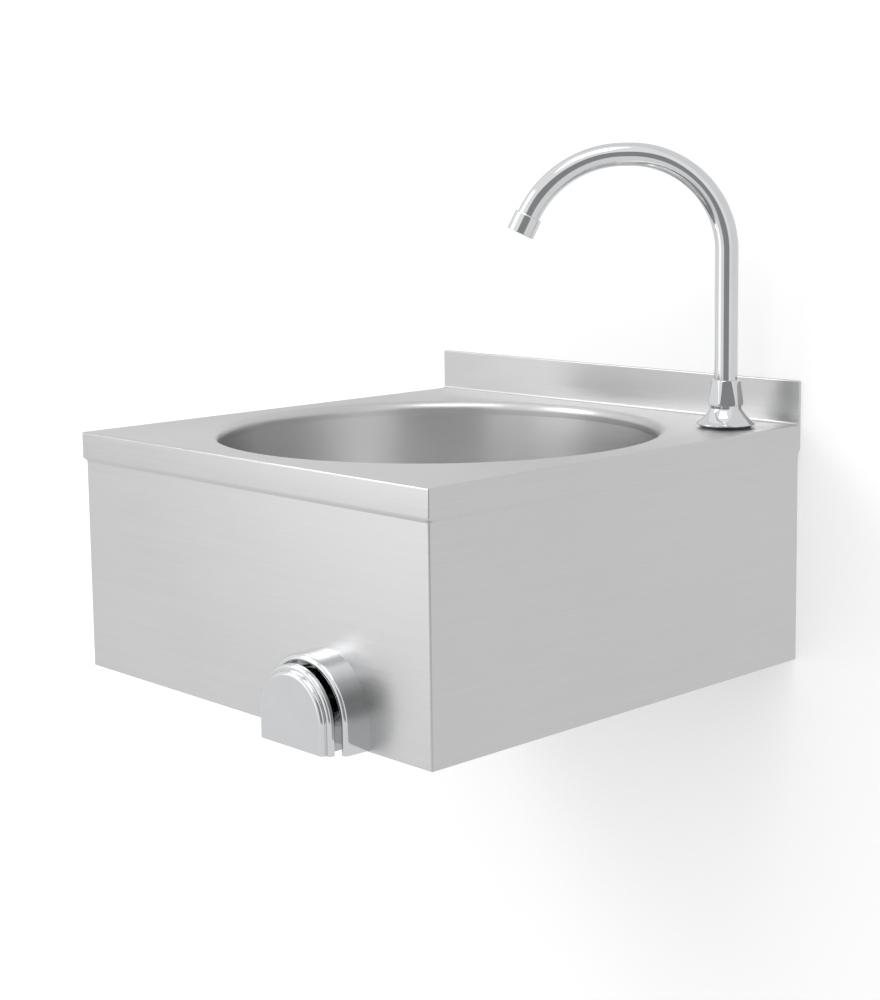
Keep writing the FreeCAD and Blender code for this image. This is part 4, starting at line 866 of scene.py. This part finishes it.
def backdrop_finish(name, colour, glow, mirrored):
    """Pale paper that shows white to the eye, keeps soft shadows and is clear from behind. Metal
    mirrors it as one even pale level."""
    material, finish = new_finish(name)
    seen = finish.node("ShaderNodeLightPath", output="Is Camera Ray")
    in_metal = finish.node("ShaderNodeLightPath", output="Is Glossy Ray")
    through = finish.node("ShaderNodeLightPath", output="Is Transmission Ray")
    paper = finish.node("ShaderNodeBsdfDiffuse", sockets={"Color": colour})
    shown = (seen + through).math("MINIMUM", 1.0) * glow
    light = finish.node("ShaderNodeEmission", sockets={"Color": grey(1.0), "Strength": shown})
    front = finish.node("ShaderNodeAddShader", sockets={0: paper, 1: light})
    even = finish.node("ShaderNodeEmission", sockets={"Color": grey(1.0), "Strength": mirrored})
    lit = finish.node("ShaderNodeMixShader", sockets={0: in_metal, 1: front, 2: even})
    clear = finish.node("ShaderNodeBsdfTransparent")
    behind = finish.node("ShaderNodeNewGeometry", output="Backfacing")
    both = finish.node("ShaderNodeMixShader", sockets={0: behind, 1: lit, 2: clear})
    finish.node("ShaderNodeOutputMaterial", sockets={0: both})
    return material


def make_room():
    """Wall behind the sink and floor far below it. Neither throws shade on the sink."""
    left, right = -wall_reach, wall_reach
    near, far = wall_gap, -wall_reach
    wall_corners = [(left, near, floor_level), (right, near, floor_level),
                    (right, near, room_height), (left, near, room_height)]
    floor_corners = [(left, far, floor_level), (right, far, floor_level),
                     (right, near, floor_level), (left, near, floor_level)]
    wall_paper = backdrop_finish("wall_paper", grey(0.84), glow=0.24, mirrored=0.85)
    wall = stage_plane("wall", wall_corners, wall_paper)
    floor_paper = backdrop_finish("floor_paper", grey(0.80), glow=0.30, mirrored=0.85)
    floor = stage_plane("floor", floor_corners, floor_paper)
    for plane in (wall, floor):
        plane.visible_shadow = False
        plane.visible_diffuse = False


def card_finish(name, level, sides, ends):
    """Even card of the studio. Its light fades out over a share of its width towards the first and
    the last side, and over a share of its height towards the low and the high end."""
    material, finish = new_finish(name)
    uv = finish.node("ShaderNodeTexCoord", output="UV")
    across = finish.node("ShaderNodeSeparateXYZ", sockets={0: uv}, output="X")
    up = finish.node("ShaderNodeSeparateXYZ", sockets={0: uv}, output="Y")
    cover = 1.0
    for place, (first, last) in ((across, sides), (up, ends)):
        cover = (place / first).math("MINIMUM", 1.0) * cover
        cover = cover * ((1 - place) / last).math("MINIMUM", 1.0)
    light = finish.node("ShaderNodeEmission", sockets={"Color": grey(1.0), "Strength": level})
    clear = finish.node("ShaderNodeBsdfTransparent")
    both = finish.node("ShaderNodeMixShader", sockets={0: cover, 1: clear, 2: light})
    finish.node("ShaderNodeOutputMaterial", sockets={0: both})
    return material


def studio_card(name, start, end, low, high, level, sides, ends):
    """Upright card between two plan points, from low to high. Only glossy metal sees it."""
    corners = [(*start, low), (*end, low), (*end, high), (*start, high)]
    card = stage_plane(name, corners, card_finish(name, level, sides, ends))
    layer = card.data.uv_layers.new(name="card")
    layer.data.foreach_set("uv", [0, 0, 1, 0, 1, 1, 0, 1])
    card.visible_camera = False
    card.visible_diffuse = False
    card.visible_shadow = False


def soft_lamp(name, place, aim, width, height, watts):
    """Rectangular studio lamp that looks at a point."""
    data = bpy.data.lights.new(name, "AREA")
    data.shape = "RECTANGLE"
    data.size = width
    data.size_y = height
    data.energy = watts
    lamp = bpy.data.objects.new(name, data)
    bpy.context.scene.collection.objects.link(lamp)
    lamp.location = place
    lamp.rotation_euler = (Vector(aim) - Vector(place)).to_track_quat("-Z", "Y").to_euler()


def make_light():
    """Pale surroundings and two soft lamps. Metal also mirrors a broad white card at the left,
    0.9 m from the sink, and a broad grey one behind the camera, 1.3 m from it."""
    world = bpy.data.worlds.new("pale_studio")
    bpy.context.scene.world = world
    world.use_nodes = True
    finish = Finish(world.node_tree)
    seen = finish.node("ShaderNodeLightPath", output="Is Camera Ray")
    direction = finish.node("ShaderNodeTexCoord", output="Generated")
    up = finish.node("ShaderNodeSeparateXYZ", sockets={0: direction}, output="Z")
    sky = finish.ramp(up * 0.5 + 0.5, (0.0, grey(0.70)), (0.45, grey(0.90)), (0.60, grey(1.0)))
    colour = finish.mix(seen, sky, grey(1.0))
    shader = finish.node("ShaderNodeBackground", sockets={"Color": colour, "Strength": 1.0})
    finish.node("ShaderNodeOutputWorld", sockets={0: shader})
    soft_lamp("key_lamp", place=(-1.30, -1.60, 1.35), aim=(0.05, -0.1, 0.0),
              width=0.9, height=0.9, watts=9.0)
    soft_lamp("top_lamp", place=(0.3, -0.8, 1.7), aim=(0.0, -0.2, 0.0),
              width=1.0, height=0.7, watts=5.0)
    studio_card("white_card", start=(-1.50, -1.45), end=(-0.17, -1.30), low=-0.44, high=0.90,
                level=1.4, sides=(0.3, 0.1), ends=(0.15, 0.3))
    studio_card("grey_card", start=(0.45, -1.85), end=(1.75, -0.75), low=-0.30, high=1.10,
                level=0.3, sides=(0.1, 0.1), ends=(0.1, 0.1))


# The photograph's view, fitted to the sink's corners and the bowl's ellipse
view_azimuth = math.radians(46.48)
view_elevation = math.radians(7.55)
view_roll = math.radians(-0.76)
view_distance = 1.4961
view_target = Vector((0.0, -0.1990, 0.1010))
picture_height = 1000
focal_pixels = 1902.4
centre_row = 420
sensor = 36.0


def make_camera():
    """Camera at the photograph's place. It looks at the target from the azimuth and the elevation,
    with a little roll, and its picture is moved up by the share that the photograph's upright lines
    ask for."""
    back = Vector((math.sin(view_azimuth) * math.cos(view_elevation),
                   -math.cos(view_azimuth) * math.cos(view_elevation), math.sin(view_elevation)))
    right = (-back).cross(Vector((0, 0, 1))).normalized()
    up = right.cross(-back)
    cosine, sine = math.cos(view_roll), math.sin(view_roll)
    rolled_right = right * cosine + up * sine
    rolled_up = up * cosine - right * sine
    data = bpy.data.cameras.new("photo_view")
    data.sensor_width = sensor
    data.lens = focal_pixels * sensor / picture_height
    data.shift_y = (centre_row - picture_height / 2) / picture_height
    data.clip_start = 0.05
    camera = bpy.data.objects.new("photo_view", data)
    bpy.context.scene.collection.objects.link(camera)
    turn = Matrix((rolled_right, rolled_up, back)).transposed().to_4x4()
    camera.matrix_world = Matrix.Translation(view_target + back * view_distance) @ turn
    bpy.context.scene.camera = camera


make_bowl()
make_tube()
make_nut()
make_flange()
make_aerator_housing()
make_knee_pad()
make_knee_shroud()
make_return_spring()
dress_solids()
make_room()
make_light()
make_camera()
bpy.context.scene.view_settings.view_transform = "Standard"
